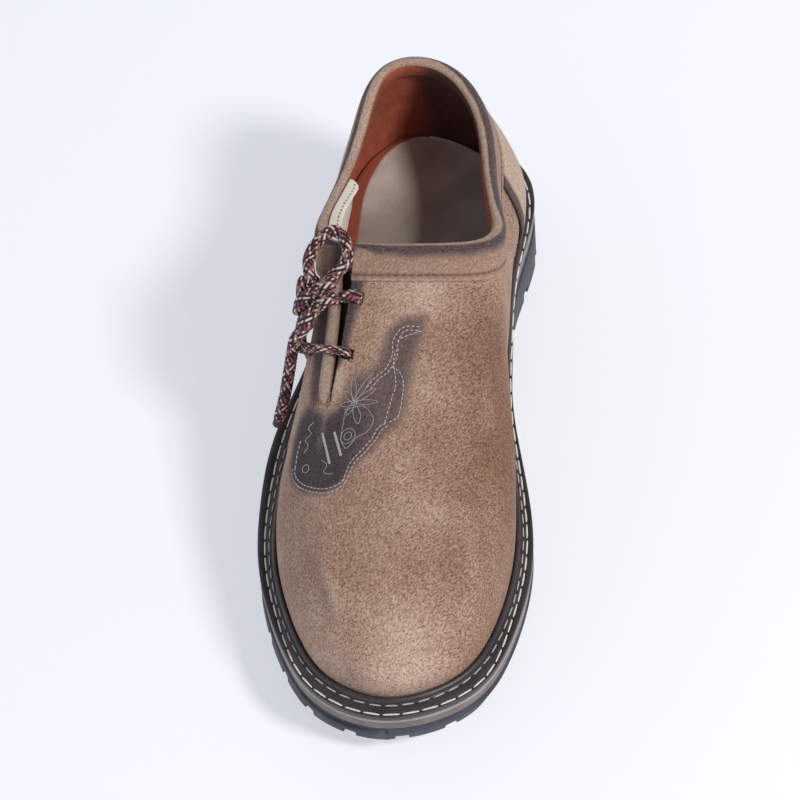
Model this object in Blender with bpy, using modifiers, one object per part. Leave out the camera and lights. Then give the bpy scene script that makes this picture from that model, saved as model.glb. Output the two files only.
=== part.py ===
# Haferl shoe for the right foot: suede upper with a laced side slit, welted to a lugged sole.
# Toe towards -Y, heel towards +Y, inner side towards +X, standing on z = 0.

import math
from collections import namedtuple

import bmesh
import bpy
import numpy as np
from mathutils import Matrix, Vector

MM = 0.001  # the sizes and tables below are in millimetres
SHOE = "haferl_shoe"
MERGE = 0.01  # points nearer than this become one
CURVE_POINTS = 161
OUTLINE_POINTS = 641

# Clearance between neighbours, and thicknesses
SEAT_GAP = 0.3
WALL = 2.2
MIDSOLE_THICK = 5.2

# Outsole
LUG_DEPTH = 5.0
NOTCH_WIDTH = 5.5
NOTCH_PITCH = 21.0
NOTCH_REACH = 13.0
NOTCH_SHIFT = 5.0  # from the toe's tip to the first notch, along the rim
NOTCH_OVERHANG = 3.0
LUG_MARGIN = 8.0  # plain tread left beside the arch
CHANNEL_MARGIN = 9.0
CHANNEL_INSET = 16.0
CHANNEL_WIDTH = 4.0
CHANNEL_POINTS = 9
CHANNEL_TOE = -122.0
CHANNEL_HEEL = 124.0
GROOVE_WIDTH = 4.5
GROOVE_YS = (-104.0, -84.0, -64.0, -44.0, 82.0, 103.0)
HEEL_BREAST = 62.0
TREAD_END = -14.0
SIDE_STEP_INSET = 1.1
SIDE_STEP_DROP = 3.0
SIDE_STEP_SLOPE = 0.6
OUTSOLE_STATIONS = 34
STATION_START = 0.35  # of a step in from the toe's tip and the heel's back
STATION_GAP = 1.6
END_ROUNDING = 6  # power that keeps the rounding of the sides to the ends
CUTTER_SINK = 3.0

# Welt
WELT_THICK = 4.2
BEAD_RISE = 2.4
BEAD_WIDTH = 2.6
BEAD_TOP_SHARE = 0.7

# Upper: columns round the shoe and rows from the sole to the collar
COLUMNS_PER_SECTION = 4
FOOT_ROW_RISE = 7.5
MIDDLE_ROWS = 8
SLIT_ROW = 7  # the middle row at the slit's lower end
BAND_DROP = 14.0
BAND_MIDDLE = 6.0

# Lacing slit, along one section from the collar down
SLIT_SECTION = 8
SLIT_LENGTH = 66.0
SLIT_HALF_GAP = 0.13  # at the collar, as a share of a section
SLIT_SPREAD = 3.0  # sections over which the gap is taken up

# Foot bed: height of the midsole's top along the shoe
Height = namedtuple("Height", "y z")
BED = [
    Height(-150, 26.8),
    Height(-125, 22.2),
    Height(-95, 18.6),
    Height(-60, 17.4),
    Height(-20, 19.0),
    Height(20, 24.0),
    Height(60, 30.0),
    Height(100, 33.0),
    Height(150, 34.0),
]

# Insole: thin under the toes, a raised pad under the heel
INSOLE_PAD = [
    Height(-150, 3.2),
    Height(-40, 3.4),
    Height(10, 5.5),
    Height(60, 9.0),
    Height(150, 10.5),
]

# Underside of the outsole: toe spring, forefoot tread, arch, breast and heel
TREAD = [
    Height(-150, 12.0),
    Height(-128, 6.0),
    Height(-108, 1.6),
    Height(-96, 0.0),
    Height(TREAD_END, 0.0),
    Height(TREAD_END + 4, 6.0),
    Height(20, 10.5),
    Height(50, 14.0),
    Height(HEEL_BREAST - 3, 15.0),
    Height(HEEL_BREAST, 0.0),
    Height(150, 0.0),
]

# How far the outsole's foot stands out past the rim, on the outer and the inner side
Flare = namedtuple("Flare", "y outer inner")
FLARE = [
    Flare(-150, -1.0, -1.0),
    Flare(-128, 0.0, -3.5),
    Flare(-104, 0.4, -4.6),
    Flare(-60, 0.4, -3.6),
    Flare(TREAD_END, 0.4, -1.5),
    Flare(HEEL_BREAST - 20, 0.4, 0.0),
    Flare(HEEL_BREAST, -0.8, -0.8),
    Flare(HEEL_BREAST + 33, 2.5, 0.3),
    Flare(150, 2.5, 2.5),
]

# Sections of the last, from the heel round the outer side to the toe and back by the inner side.
# Each is one Bezier curve from its foot, inset from the rim of the sole, up to the collar:
# the wall handle leans out and rises from the foot, the crown handle leads into the collar.
Section = namedtuple(
    "Section",
    "name rim_x rim_y inset collar_x collar_y collar_z wall_out wall_rise crown_share crown_lift crown_out",
)
SECTIONS = [
    Section("heel back", 10, 144.5, 9.0, 5.5, 135.5, 93, 7, 22, 0.66, 0, 4),
    Section("heel outer corner", -19, 131.5, 8.0, -10, 128, 91.5, 6, 22, 0.66, 0, 3),
    Section("heel outer side", -33, 104, 8.0, -17, 108, 86, 5, 21, 0.66, 1, 2),
    Section("rear quarter outer", -34, 71, 7.0, -22.5, 86, 82, 5, 20, 0.66, 2, 2),
    Section("waist outer", -37.5, 31, 7.0, -28.5, 64, 84, 3, 20, 0.66, 4, -2),
    Section("front quarter outer", -51, -8, 9.5, -31.5, 47, 88.5, 0, 22, 0.6, 3, -7),
    Section("instep outer", -56.2, -44, 9.4, -28, 38, 92, 3, 25, 0.55, 9, -4),
    Section("ball outer", -54, -80, 8.8, -22.5, 34, 94.5, 6, 30, 0.5, 11, 0),
    Section("slit", -41, -118.5, 8.8, -16.5, 32, 96, 8, 38, 0.5, 9, 0),
    Section("toe outer corner", -24, -139.8, 10.1, -6.5, 31, 97, 11, 46, 0.49, 7, 0),
    Section("toe", 2, -147.6, 10.3, 4, 30.5, 97.5, 12, 47, 0.48, 6, 0),
    Section("toe inner corner", 32, -135.2, 10.2, 14, 30.8, 97.2, 10, 44, 0.49, 7, 0),
    Section("ball inner front", 48, -107.5, 8.8, 23, 31.5, 96.5, 7, 38, 0.5, 9, 0),
    Section("ball inner", 56, -68, 8.5, 31.5, 33.5, 95, 6, 34, 0.52, 10, 1),
    Section("instep inner", 52.5, -28, 7.5, 39, 38.5, 92.5, 6, 29, 0.56, 9, 3),
    Section("front quarter inner", 47.5, 4, 6.0, 42.5, 47, 89, 7, 25, 0.6, 6, 2),
    Section("waist inner", 47, 35, 5.5, 41.5, 60, 85, 10.5, 24, 0.64, 3, 0.5),
    Section("rear quarter inner", 49, 66, 5.5, 38.5, 82, 82, 12.5, 25, 0.66, 2, -1),
    Section("heel inner side", 56, 100, 8.5, 35.5, 106, 86, 10.5, 25, 0.66, 1, -1),
    Section("heel inner corner", 45, 129, 9.5, 24, 128, 91, 5, 22, 0.66, 0, 3),
]
TURN = len(SECTIONS)

# Collar band, an upside-down U over the topline: distance below the collar and offset from the wall
BandPoint = namedtuple("BandPoint", "drop offset")
BAND_PROFILE = [
    BandPoint(BAND_DROP, SEAT_GAP),
    BandPoint(BAND_DROP, 1.8),
    BandPoint(BAND_MIDDLE, 2.2),
    BandPoint(1.0, 2.2),
    BandPoint(-2.7, 0.8),
    BandPoint(-2.7, -3.0),
    BandPoint(1.0, -4.4),
    BandPoint(BAND_MIDDLE, -4.4),
    BandPoint(BAND_MIDDLE, -WALL - SEAT_GAP),
    BandPoint(-SEAT_GAP, -WALL - SEAT_GAP),
    BandPoint(-SEAT_GAP, SEAT_GAP),
]

# Heel counter, in sections round the shoe
COUNTER_START = 17.5
COUNTER_END = 22.75
COUNTER_THICK = 1.2

# Turned edge along the rear side of the slit: width round the shoe and height off the wall
BINDING_WIDTH = 0.75
BINDING_HEIGHTS = (1.2, 1.8, 1.8, 1.2)  # at evenly spaced places from the slit back

# Tongue behind the slit; the top of its rear wing bends in from the outer collar
TONGUE_OFFSET = -4.8
TONGUE_THICK = 1.5
TONGUE_ROWS = 9
TONGUE_ROW_POWER = 1.6  # crowds the rows towards the top
TONGUE_COLUMNS = 25
TongueColumn = namedtuple("TongueColumn", "place foot top lean")
TONGUE = [
    TongueColumn(23.1, 12, -1.6, 1.7),
    TongueColumn(24.75, 22, -1.6, 1.7),
    TongueColumn(25.5, 42, -1.6, 1.7),
    TongueColumn(26.75, 70, -1.0, 1.4),
    TongueColumn(28.0, 78, 0.2, 0.0),
    TongueColumn(29.75, 78, 0.2, 0.0),
]
LEAN_DROP = 1.0  # the wing leans in above this, by its lean for each millimetre

# Lace: places on the wall, in sections round the closed form, millimetres below the collar
# and height of the cord's middle off the wall
LACE_DIAMETER = 4.8
LACE_HOLE = 2.2
LACE_HOLE_SIDES = 12
LACE_STEP = 9.0
LACE_CURVE_STEPS = 16
KNOT_HALF = (8.0, 7.5, 5.4)  # round the shoe, down the wall, off the wall
KNOT_GAP = 0.9
Stop = namedtuple("Stop", "place drop lift")
HOLE_FRONT_UPPER = Stop(28.42, 21, 0)
HOLE_REAR_UPPER = Stop(26.84, 21, 0)
HOLE_FRONT_LOWER = Stop(28.33, 45, 0)
HOLE_REAR_LOWER = Stop(26.56, 43.5, 0)
LACE_HOLES = [HOLE_FRONT_UPPER, HOLE_REAR_UPPER, HOLE_FRONT_LOWER, HOLE_REAR_LOWER]
KNOT = Stop(27.15, 24, 8.2)

# Routes of the lace; a route with a knot end starts or stops at the knot's face
Route = namedtuple("Route", "name knot_start knot_end stops")
LACE_ROUTES = [
    Route(
        "lace_bar_lower",
        False,
        False,
        [
            Stop(28.33, 45, 3.0),
            Stop(28.08, 44.8, 3.8),
            Stop(27.6, 44.4, 5.3),
            Stop(27.1, 44, 4.4),
            Stop(26.56, 43.5, 3.0),
        ],
    ),
    Route(
        "lace_bar_upper",
        False,
        True,
        [
            Stop(28.42, 21, 3.0),
            Stop(28.27, 21.3, 3.4),
            Stop(28.12, 21.8, 4.2),
        ],
    ),
    Route(
        "lace_loop_collar",
        True,
        True,
        [
            Stop(27.62, 15.4, 8.8),
            Stop(27.98, 10, 8.4),
            Stop(28.02, 4, 7.8),
            Stop(27.74, -1.8, 7.4),
            Stop(27.2, -4.6, 7.2),
            Stop(26.68, -3.8, 7.2),
            Stop(26.27, 1.5, 7.8),
            Stop(26.18, 8, 8.4),
            Stop(26.55, 14.6, 8.8),
        ],
    ),
    Route(
        "lace_loop_side",
        True,
        True,
        [
            Stop(26.15, 20.8, 7.4),
            Stop(25.6, 19.2, 6.0),
            Stop(25.05, 20.4, 4.8),
            Stop(24.6, 24.2, 3.9),
            Stop(24.35, 29.6, 3.4),
            Stop(24.3, 35.4, 3.2),
            Stop(24.55, 39.6, 3.2),
            Stop(24.95, 39.6, 3.2),
            Stop(25.3, 34.8, 3.6),
            Stop(25.65, 29.4, 5.2),
            Stop(26.15, 26.2, 7.6),
        ],
    ),
    Route(
        "lace_end_front",
        True,
        False,
        [
            Stop(27.0, 35.4, 8.0),
            Stop(26.65, 40.8, 8.2),
            Stop(26.15, 46, 6.4),
            Stop(25.75, 55, 6.0),
            Stop(25.45, 68, 6.3),
            Stop(25.15, 83, 8.2),
        ],
    ),
    Route(
        "lace_end_side",
        True,
        False,
        [
            Stop(26.5, 32.2, 6.0),
            Stop(25.95, 38.5, 4.4),
            Stop(25.4, 45.5, 3.6),
            Stop(24.9, 50, 3.3),
            Stop(24.5, 55, 3.3),
            Stop(24.3, 62, 3.3),
        ],
    ),
]


def spline_bends(values):
    # Second derivatives of the closed cubic spline through evenly spaced values
    count = len(values)
    unit = np.eye(count)
    system = 4 * unit + np.roll(unit, 1, axis=0) + np.roll(unit, -1, axis=0)
    change = np.roll(values, -1, axis=0) - 2 * values + np.roll(values, 1, axis=0)
    return np.linalg.solve(system, 6 * change)


SECTION_VALUES = np.array([row[1:] for row in SECTIONS], float)
SECTION_BENDS = spline_bends(SECTION_VALUES)


def section_at(place):
    # The section table's values at a place between sections
    start = math.floor(place)
    share = place - start
    rest = 1 - share
    low = start % TURN
    high = (start + 1) % TURN
    straight = rest * SECTION_VALUES[low] + share * SECTION_VALUES[high]
    bent = (rest**3 - rest) * SECTION_BENDS[low] + (share**3 - share) * SECTION_BENDS[high]
    return Section("between", *(straight + bent / 6))


def smooth_height(table, y):
    # Height along the shoe on a smooth curve through a table of y and z
    ys = np.array([row.y for row in table], float)
    zs = np.array([row.z for row in table], float)
    slopes = np.gradient(zs, ys)
    index = int(np.clip(np.searchsorted(ys, y) - 1, 0, len(ys) - 2))
    span = ys[index + 1] - ys[index]
    share = (y - ys[index]) / span
    from_low = (1 + 2 * share) * (1 - share) ** 2 * zs[index]
    from_high = share**2 * (3 - 2 * share) * zs[index + 1]
    lean_low = share * (1 - share) ** 2 * slopes[index] * span
    lean_high = share**2 * (share - 1) * slopes[index + 1] * span
    return from_low + from_high + lean_low + lean_high


def bed_height(y):
    return smooth_height(BED, y)


def straight_value(table, at, column=1):
    # A column of a table at a value of its first, straight between rows
    keys = [row[0] for row in table]
    values = [row[column] for row in table]
    return float(np.interp(at, keys, values))


def tread_height(y):
    return straight_value(TREAD, y)


def rim_point(place, inset=0.0):
    # Plan point on the sole's outline, or in from it, and the outward direction there
    step = 0.02
    here = section_at(place)
    before = section_at(place - step)
    after = section_at(place + step)
    along = np.array([after.rim_x - before.rim_x, after.rim_y - before.rim_y])
    along /= np.linalg.norm(along)
    out = np.array([along[1], -along[0]])
    return np.array([here.rim_x, here.rim_y]) - inset * out, out


def outline_sides(inset):
    # Outer and inner half of an inset outline, each from heel to toe
    places = np.linspace(0, TURN, OUTLINE_POINTS)
    points = np.array([rim_point(place, inset)[0] for place in places])
    heel = int(np.argmax(points[:, 1]))
    points = np.roll(points[:-1], -heel, axis=0)
    toe = int(np.argmin(points[:, 1]))
    outer = points[: toe + 1]
    inner = np.vstack([points[toe:], points[:1]])[::-1]
    return outer, inner


def outline_width(sides, y):
    # Outer and inner x of an outline at one y
    outer, inner = sides
    left = np.interp(y, outer[::-1, 1], outer[::-1, 0])
    right = np.interp(y, inner[::-1, 1], inner[::-1, 0])
    return left, right


def section_curve(place):
    # Points of the wall from its foot on the bed to the collar
    section = section_at(place)
    foot_plan, out = rim_point(place, section.inset)
    foot = np.array([*foot_plan, bed_height(foot_plan[1]) + SEAT_GAP])
    collar = np.array([section.collar_x, section.collar_y, section.collar_z])
    out = np.array([*out, 0.0])
    up = np.array([0.0, 0.0, 1.0])
    wall = foot + section.wall_out * out + section.wall_rise * up
    crown = foot + section.crown_share * (collar - foot)
    crown = crown + section.crown_lift * up + section.crown_out * out
    share = np.linspace(0, 1, CURVE_POINTS)[:, None]
    rest = 1 - share
    return rest**3 * foot + 3 * rest**2 * share * wall + 3 * rest * share**2 * crown + share**3 * collar


CURVES = {}


def measured_curve(place):
    # A section's curve with the running length of its points
    key = round(place % TURN, 5)
    if key not in CURVES:
        points = section_curve(key)
        steps = np.linalg.norm(np.diff(points, axis=0), axis=1)
        CURVES[key] = (points, np.concatenate([[0.0], np.cumsum(steps)]))
    return CURVES[key]


def wall_length(place):
    return measured_curve(place)[1][-1]


def curve_point(place, drop):
    # Point of a section below the collar, or straight on above it
    points, lengths = measured_curve(place)
    if drop < 0:
        last_points = 6
        end = points[-1] - points[-last_points]
        return points[-1] - drop * end / np.linalg.norm(end)
    at = lengths[-1] - drop
    return np.array([np.interp(at, lengths, points[:, axis]) for axis in range(3)])


def slit_shift(place, drop):
    # The slit gapes towards the collar, and the sections beside it move over
    gape = SLIT_HALF_GAP * math.sqrt(max(0.0, 1 - max(drop, 0.0) / SLIT_LENGTH))
    after = place - SLIT_SECTION
    before = SLIT_SECTION + TURN - place
    return gape * (max(0.0, 1 - after / SLIT_SPREAD) - max(0.0, 1 - before / SLIT_SPREAD))


def bare_point(place, drop, gaping):
    shift = slit_shift(place, drop) if gaping else 0.0
    return curve_point(place + shift, drop)


def wall_point(place, drop, offset=0.0, gaping=True):
    # Point off the upper's outer face; places run from the slit right round to the slit again,
    # and without the gape they run on across it
    here = bare_point(place, drop, gaping)
    if offset == 0.0:
        return here
    turn_step = 0.05
    drop_step = 0.5
    low = place - turn_step
    high = place + turn_step
    if gaping:
        low = max(low, SLIT_SECTION)
        high = min(high, SLIT_SECTION + TURN)
    around = bare_point(high, drop, gaping) - bare_point(low, drop, gaping)
    upward = bare_point(place, drop - drop_step, gaping) - bare_point(place, drop + drop_step, gaping)
    normal = np.cross(around, upward)
    return here + offset * normal / np.linalg.norm(normal)


def row_crowding():
    # Power that crowds the rows towards the sole and puts one row at the slit's end
    length = wall_length(SLIT_SECTION)
    free = length - FOOT_ROW_RISE - BAND_DROP
    share = (length - SLIT_LENGTH - FOOT_ROW_RISE) / free
    return math.log(share) / math.log(SLIT_ROW / (MIDDLE_ROWS + 1))


CROWDING = row_crowding()


def wall_drops(place):
    # Distances below the collar of the upper's rows, from its foot up
    length = wall_length(place)
    free = length - FOOT_ROW_RISE - BAND_DROP
    shares = (np.arange(MIDDLE_ROWS + 1) / (MIDDLE_ROWS + 1)) ** CROWDING
    return [length, *(length - FOOT_ROW_RISE - shares * free), BAND_DROP, BAND_MIDDLE, 0.0]


ROWS = len(wall_drops(SLIT_SECTION))
BAND_ROW = ROWS - 3  # the row at the band's lower edge


def slit_columns():
    # Places of all the columns, from the slit round to the slit
    return np.linspace(SLIT_SECTION, SLIT_SECTION + TURN, TURN * COLUMNS_PER_SECTION + 1)


def make_material(name, colour, roughness):
    material = bpy.data.materials.new(name)
    material.use_nodes = True
    shader = material.node_tree.nodes["Principled BSDF"]
    shader.inputs["Base Color"].default_value = (*colour, 1.0)
    shader.inputs["Roughness"].default_value = roughness
    shader.inputs["Metallic"].default_value = 0.0
    return material


def make_collection(name):
    collection = bpy.data.collections.new(name)
    bpy.context.scene.collection.children.link(collection)
    return collection


def add_object(name, data, collection, material=None):
    item = bpy.data.objects.new(name, data)
    collection.objects.link(item)
    if material:
        item.data.materials.append(material)
    return item


def add_cutter(name, mesh, collection):
    cutter = add_object(name, mesh, collection)
    cutter.hide_render = True
    cutter.display_type = "WIRE"
    return cutter


def add_wall(item, thickness, offset):
    solid = item.modifiers.new("wall", "SOLIDIFY")
    solid.thickness = thickness * MM
    solid.offset = offset
    solid.use_even_offset = True
    return item


def cut(item, cutter):
    boolean = item.modifiers.new("cut " + cutter.name, "BOOLEAN")
    boolean.operation = "DIFFERENCE"
    boolean.object = cutter


def mesh_from(work, name, smooth_angle=40):
    mesh = bpy.data.meshes.new(name)
    work.to_mesh(mesh)
    work.free()
    mesh.shade_smooth()
    mesh.set_sharp_from_angle(angle=math.radians(smooth_angle))
    return mesh


def add_points(work, points):
    return [work.verts.new(np.asarray(point) * MM) for point in points]


def join_loops(work, low, high):
    # Faces between two closed loops of points
    for index in range(len(low)):
        after = (index + 1) % len(low)
        work.faces.new((low[index], low[after], high[after], high[index]))


def loft_mesh(name, rings, closed):
    # Solid through like rings of points, capped at its ends unless it closes on itself
    work = bmesh.new()
    loops = [add_points(work, ring) for ring in rings]
    for low, high in zip(loops[:-1], loops[1:]):
        join_loops(work, low, high)
    if closed:
        join_loops(work, loops[-1], loops[0])
    else:
        work.faces.new(loops[0])
        work.faces.new(loops[-1])
    bmesh.ops.recalc_face_normals(work, faces=work.faces)
    return mesh_from(work, name)


def sheet_mesh(name, rows):
    # Open sheet through rows of points; points that coincide become one
    work = bmesh.new()
    lines = [add_points(work, row) for row in rows]
    for low, high in zip(lines[:-1], lines[1:]):
        for index in range(len(low) - 1):
            work.faces.new((low[index], low[index + 1], high[index + 1], high[index]))
    bmesh.ops.remove_doubles(work, verts=work.verts, dist=MERGE * MM)
    return mesh_from(work, name)


def ladder_mesh(name, top_point, bottom_point):
    # Layer whose rungs join like columns on the outer and the inner side
    half = TURN // 2
    tip = 0.12
    places = [tip, *np.arange(1, half * COLUMNS_PER_SECTION) / COLUMNS_PER_SECTION, half - tip]
    rings = []
    for place in places:
        across = TURN - place
        rings.append([top_point(place), top_point(across), bottom_point(across), bottom_point(place)])
    return loft_mesh(name, rings, closed=False)


def midsole_mesh():
    def edge(place, lift):
        plan, out = rim_point(place)
        return np.array([*plan, bed_height(plan[1]) + lift])

    return ladder_mesh("midsole", lambda place: edge(place, 0.0), lambda place: edge(place, -MIDSOLE_THICK))


def insole_mesh():
    clear = -WALL - 2 * SEAT_GAP

    def bottom(place):
        point = wall_point(place, wall_length(place), clear, gaping=False)
        return np.array([point[0], point[1], bed_height(point[1]) + SEAT_GAP])

    def top(place):
        low = bottom(place)
        thick = smooth_height(INSOLE_PAD, low[1])
        point = wall_point(place, wall_length(place) - thick, clear - SEAT_GAP, gaping=False)
        return np.array([point[0], point[1], low[2] + thick])

    return ladder_mesh("insole", top, bottom)


def outsole_stations(toe, heel):
    # Stations along the shoe, close together at its round ends, with one at each break of the tread
    turns = (np.arange(OUTSOLE_STATIONS) + STATION_START) / (OUTSOLE_STATIONS - 1 + 2 * STATION_START)
    ys = (toe + heel) / 2 - (heel - toe) / 2 * np.cos(math.pi * turns)
    breaks = [row.y for row in TREAD if toe + LUG_MARGIN < row.y < heel - LUG_MARGIN]
    kept = [y for y in ys if min(abs(y - stop) for stop in breaks) > STATION_GAP]
    return sorted(kept + breaks)


def outsole_mesh():
    # Lofted along the shoe: groove under the midsole, side step, flared foot
    rim = outline_sides(0.0)
    groove = outline_sides(SIDE_STEP_INSET)
    toe = rim[0][:, 1].min()
    heel = rim[0][:, 1].max()
    rings = []
    for y in outsole_stations(toe, heel):
        reach = (y - (toe + heel) / 2) / ((heel - toe) / 2)
        end = math.copysign(reach**END_ROUNDING, reach)
        top = bed_height(y) - MIDSOLE_THICK - SEAT_GAP
        step = top - SIDE_STEP_DROP
        groove_y = y - SIDE_STEP_INSET * end
        groove_x = outline_width(groove, groove_y)
        rim_x = outline_width(rim, y)
        ring = []
        for side, way in ((0, -1), (1, 1)):
            flare = straight_value(FLARE, y, 1 + side)
            foot_x = rim_x[side] + way * flare * (1 - abs(end))
            levels = [
                (groove_x[side], groove_y, top),
                (groove_x[side], groove_y, step),
                (rim_x[side], y, step - SIDE_STEP_SLOPE),
                (foot_x, y + flare * end, tread_height(y)),
            ]
            ring += levels if side == 0 else levels[::-1]
        rings.append(ring)
    return loft_mesh("outsole", rings, closed=False)


def add_box(work, centre, along, half_along, half_across, top):
    # Upright box turned in plan, from below the tread up to a height
    across = np.array([along[1], -along[0]])
    corners = [(-1, -1), (1, -1), (1, 1), (-1, 1)]
    plan = [centre + a * half_along * along + b * half_across * across for a, b in corners]
    low = add_points(work, [(*point, -CUTTER_SINK) for point in plan])
    high = add_points(work, [(*point, top) for point in plan])
    work.faces.new(low)
    work.faces.new(high)
    join_loops(work, low, high)


def finish_cutter(work, name):
    bmesh.ops.recalc_face_normals(work, faces=work.faces)
    return mesh_from(work, name)


def notch_mesh():
    # Notches between the lugs round the edge of the forefoot and the heel
    places = np.linspace(0, TURN, OUTLINE_POINTS)
    points = np.array([rim_point(place)[0] for place in places])
    lengths = np.concatenate([[0.0], np.cumsum(np.linalg.norm(np.diff(points, axis=0), axis=1))])
    toe_length = lengths[int(np.argmin(points[:, 1]))] + NOTCH_SHIFT
    count = int(lengths[-1] / NOTCH_PITCH)
    work = bmesh.new()
    for number in range(count):
        at = (toe_length + number * NOTCH_PITCH) % lengths[-1]
        point, out = rim_point(float(np.interp(at, lengths, places)))
        if TREAD_END - LUG_MARGIN < point[1] < HEEL_BREAST + LUG_MARGIN:
            continue
        root = point - out * NOTCH_REACH / 2
        centre = root + out * NOTCH_OVERHANG
        top = tread_height(root[1]) + LUG_DEPTH
        add_box(work, centre, out, NOTCH_REACH / 2 + NOTCH_OVERHANG, NOTCH_WIDTH / 2, top)
    return finish_cutter(work, "notches")


def channel_mesh():
    # Groove that runs behind the edge lugs, one ring in the forefoot and one in the heel
    work = bmesh.new()
    sides = outline_sides(CHANNEL_INSET)
    forefoot = (CHANNEL_TOE, TREAD_END - CHANNEL_MARGIN)
    heel = (HEEL_BREAST + CHANNEL_MARGIN, CHANNEL_HEEL)
    for low, high in (forefoot, heel):
        ys = np.linspace(low, high, CHANNEL_POINTS)
        ring = [(outline_width(sides, y)[0], y) for y in ys]
        ring = np.array(ring + [(outline_width(sides, y)[1], y) for y in ys[::-1]])
        inward = ring.mean(axis=0) - ring
        inward /= np.linalg.norm(inward, axis=1)[:, None]
        loops = []
        for plan in (ring, ring + CHANNEL_WIDTH * inward):
            sunk = add_points(work, [(*point, -CUTTER_SINK) for point in plan])
            top = add_points(work, [(*point, tread_height(point[1]) + LUG_DEPTH) for point in plan])
            loops += [sunk, top]
        order = [loops[0], loops[1], loops[3], loops[2]]
        for loop, following in zip(order, order[1:] + order[:1]):
            join_loops(work, loop, following)
    return finish_cutter(work, "channels")


def groove_mesh():
    # Cross grooves between the bars in the middle of the tread
    work = bmesh.new()
    sides = outline_sides(CHANNEL_INSET + CHANNEL_WIDTH / 2)
    across = np.array([1.0, 0.0])
    for y in GROOVE_YS:
        left, right = outline_width(sides, y)
        centre = np.array([(left + right) / 2, y])
        add_box(work, centre, across, (right - left) / 2, GROOVE_WIDTH / 2, tread_height(y) + LUG_DEPTH)
    return finish_cutter(work, "cross_grooves")


def welt_mesh():
    # Ring with a flat top and a raised bead against the upper
    rings = []
    for place in slit_columns()[:-1]:
        length = wall_length(place)
        foot = wall_point(place, length, SEAT_GAP)
        crest = wall_point(place, length - WELT_THICK - BEAD_RISE, SEAT_GAP)
        rim, out = rim_point(place)
        out = np.array([*out, 0.0])
        foot[2] = bed_height(foot[1]) + SEAT_GAP
        bead = crest + BEAD_TOP_SHARE * BEAD_WIDTH * out
        bead_foot = crest + BEAD_WIDTH * out
        bead_foot[2] = bed_height(bead_foot[1]) + SEAT_GAP + WELT_THICK
        base = bed_height(rim[1]) + SEAT_GAP
        rings.append([foot, crest, bead, bead_foot, (*rim, base + WELT_THICK), (*rim, base)])
    return loft_mesh("welt", rings, closed=True)


def upper_mesh():
    columns = slit_columns()
    rows = []
    for row in range(ROWS):
        rows.append([wall_point(place, wall_drops(place)[row]) for place in columns])
    return sheet_mesh("upper", rows)


def band_mesh():
    rings = []
    for place in slit_columns():
        rings.append([wall_point(place, point.drop, point.offset) for point in BAND_PROFILE])
    return loft_mesh("collar_band", rings, closed=False)


def counter_mesh():
    columns = [place for place in slit_columns() if COUNTER_START <= place <= COUNTER_END]
    rows = []
    for row in range(1, BAND_ROW + 1):
        clear = SEAT_GAP if row == BAND_ROW else 0.0
        rows.append([wall_point(place, wall_drops(place)[row] + clear, SEAT_GAP) for place in columns])
    return sheet_mesh("heel_counter", rows)


def binding_mesh():
    edge = SLIT_SECTION + TURN
    places = np.linspace(edge, edge - BINDING_WIDTH, len(BINDING_HEIGHTS))
    across = [*zip(places, BINDING_HEIGHTS)]
    across += [(place, SEAT_GAP) for place in places[::-1]]
    slit_end = 1 + SLIT_ROW
    drops = wall_drops(edge)[slit_end : BAND_ROW + 1]
    drops[-1] += SEAT_GAP
    rings = []
    for drop in drops:
        rings.append([wall_point(place, drop, height) for place, height in across])
    return loft_mesh("slit_binding", rings, closed=False)


def tongue_mesh():
    places = [row.place for row in TONGUE]
    columns = np.linspace(places[0], places[-1], TONGUE_COLUMNS)
    rows = []
    for share in 1 - np.linspace(1, 0, TONGUE_ROWS) ** TONGUE_ROW_POWER:
        line = []
        for place in columns:
            foot = np.interp(place, places, [row.foot for row in TONGUE])
            top = np.interp(place, places, [row.top for row in TONGUE])
            lean = np.interp(place, places, [row.lean for row in TONGUE])
            drop = foot + (top - foot) * share
            offset = TONGUE_OFFSET - lean * max(0.0, LEAN_DROP - drop)
            line.append(wall_point(place, drop, offset, gaping=False))
        rows.append(line)
    return sheet_mesh("tongue", rows)


def hole_mesh():
    # Punched lace holes, square to the wall
    work = bmesh.new()
    for stop in LACE_HOLES:
        low = Vector(wall_point(stop.place, stop.drop, -2 * WALL, gaping=False) * MM)
        high = Vector(wall_point(stop.place, stop.drop, WALL, gaping=False) * MM)
        turn = (high - low).to_track_quat("Z", "Y").to_matrix().to_4x4()
        bmesh.ops.create_cone(
            work,
            cap_ends=True,
            segments=LACE_HOLE_SIDES,
            radius1=LACE_HOLE * MM,
            radius2=LACE_HOLE * MM,
            depth=(high - low).length,
            matrix=Matrix.Translation((low + high) / 2) @ turn,
        )
    return mesh_from(work, "lace_holes")


def stop_point(stop):
    return wall_point(stop.place, stop.drop, stop.lift, gaping=False)


def knot_frame():
    # Middle of the knot and its directions: round the shoe, down the wall, off the wall
    middle = stop_point(KNOT)
    off = middle - stop_point(KNOT._replace(lift=KNOT.lift - 1))
    off /= np.linalg.norm(off)
    down = stop_point(KNOT._replace(drop=KNOT.drop + 1)) - middle
    down -= off * (down @ off)
    down /= np.linalg.norm(down)
    return middle, np.array([np.cross(down, off), down, off])


def knot_mesh():
    middle, axes = knot_frame()
    work = bmesh.new()
    bmesh.ops.create_uvsphere(work, u_segments=12, v_segments=8, radius=MM)
    turn = Matrix((axes * np.array(KNOT_HALF)[:, None]).T.tolist()).to_4x4()
    bmesh.ops.transform(work, matrix=Matrix.Translation(Vector(middle * MM)) @ turn, verts=work.verts)
    bmesh.ops.recalc_face_normals(work, faces=work.faces)
    return mesh_from(work, "lace_knot")


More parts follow.
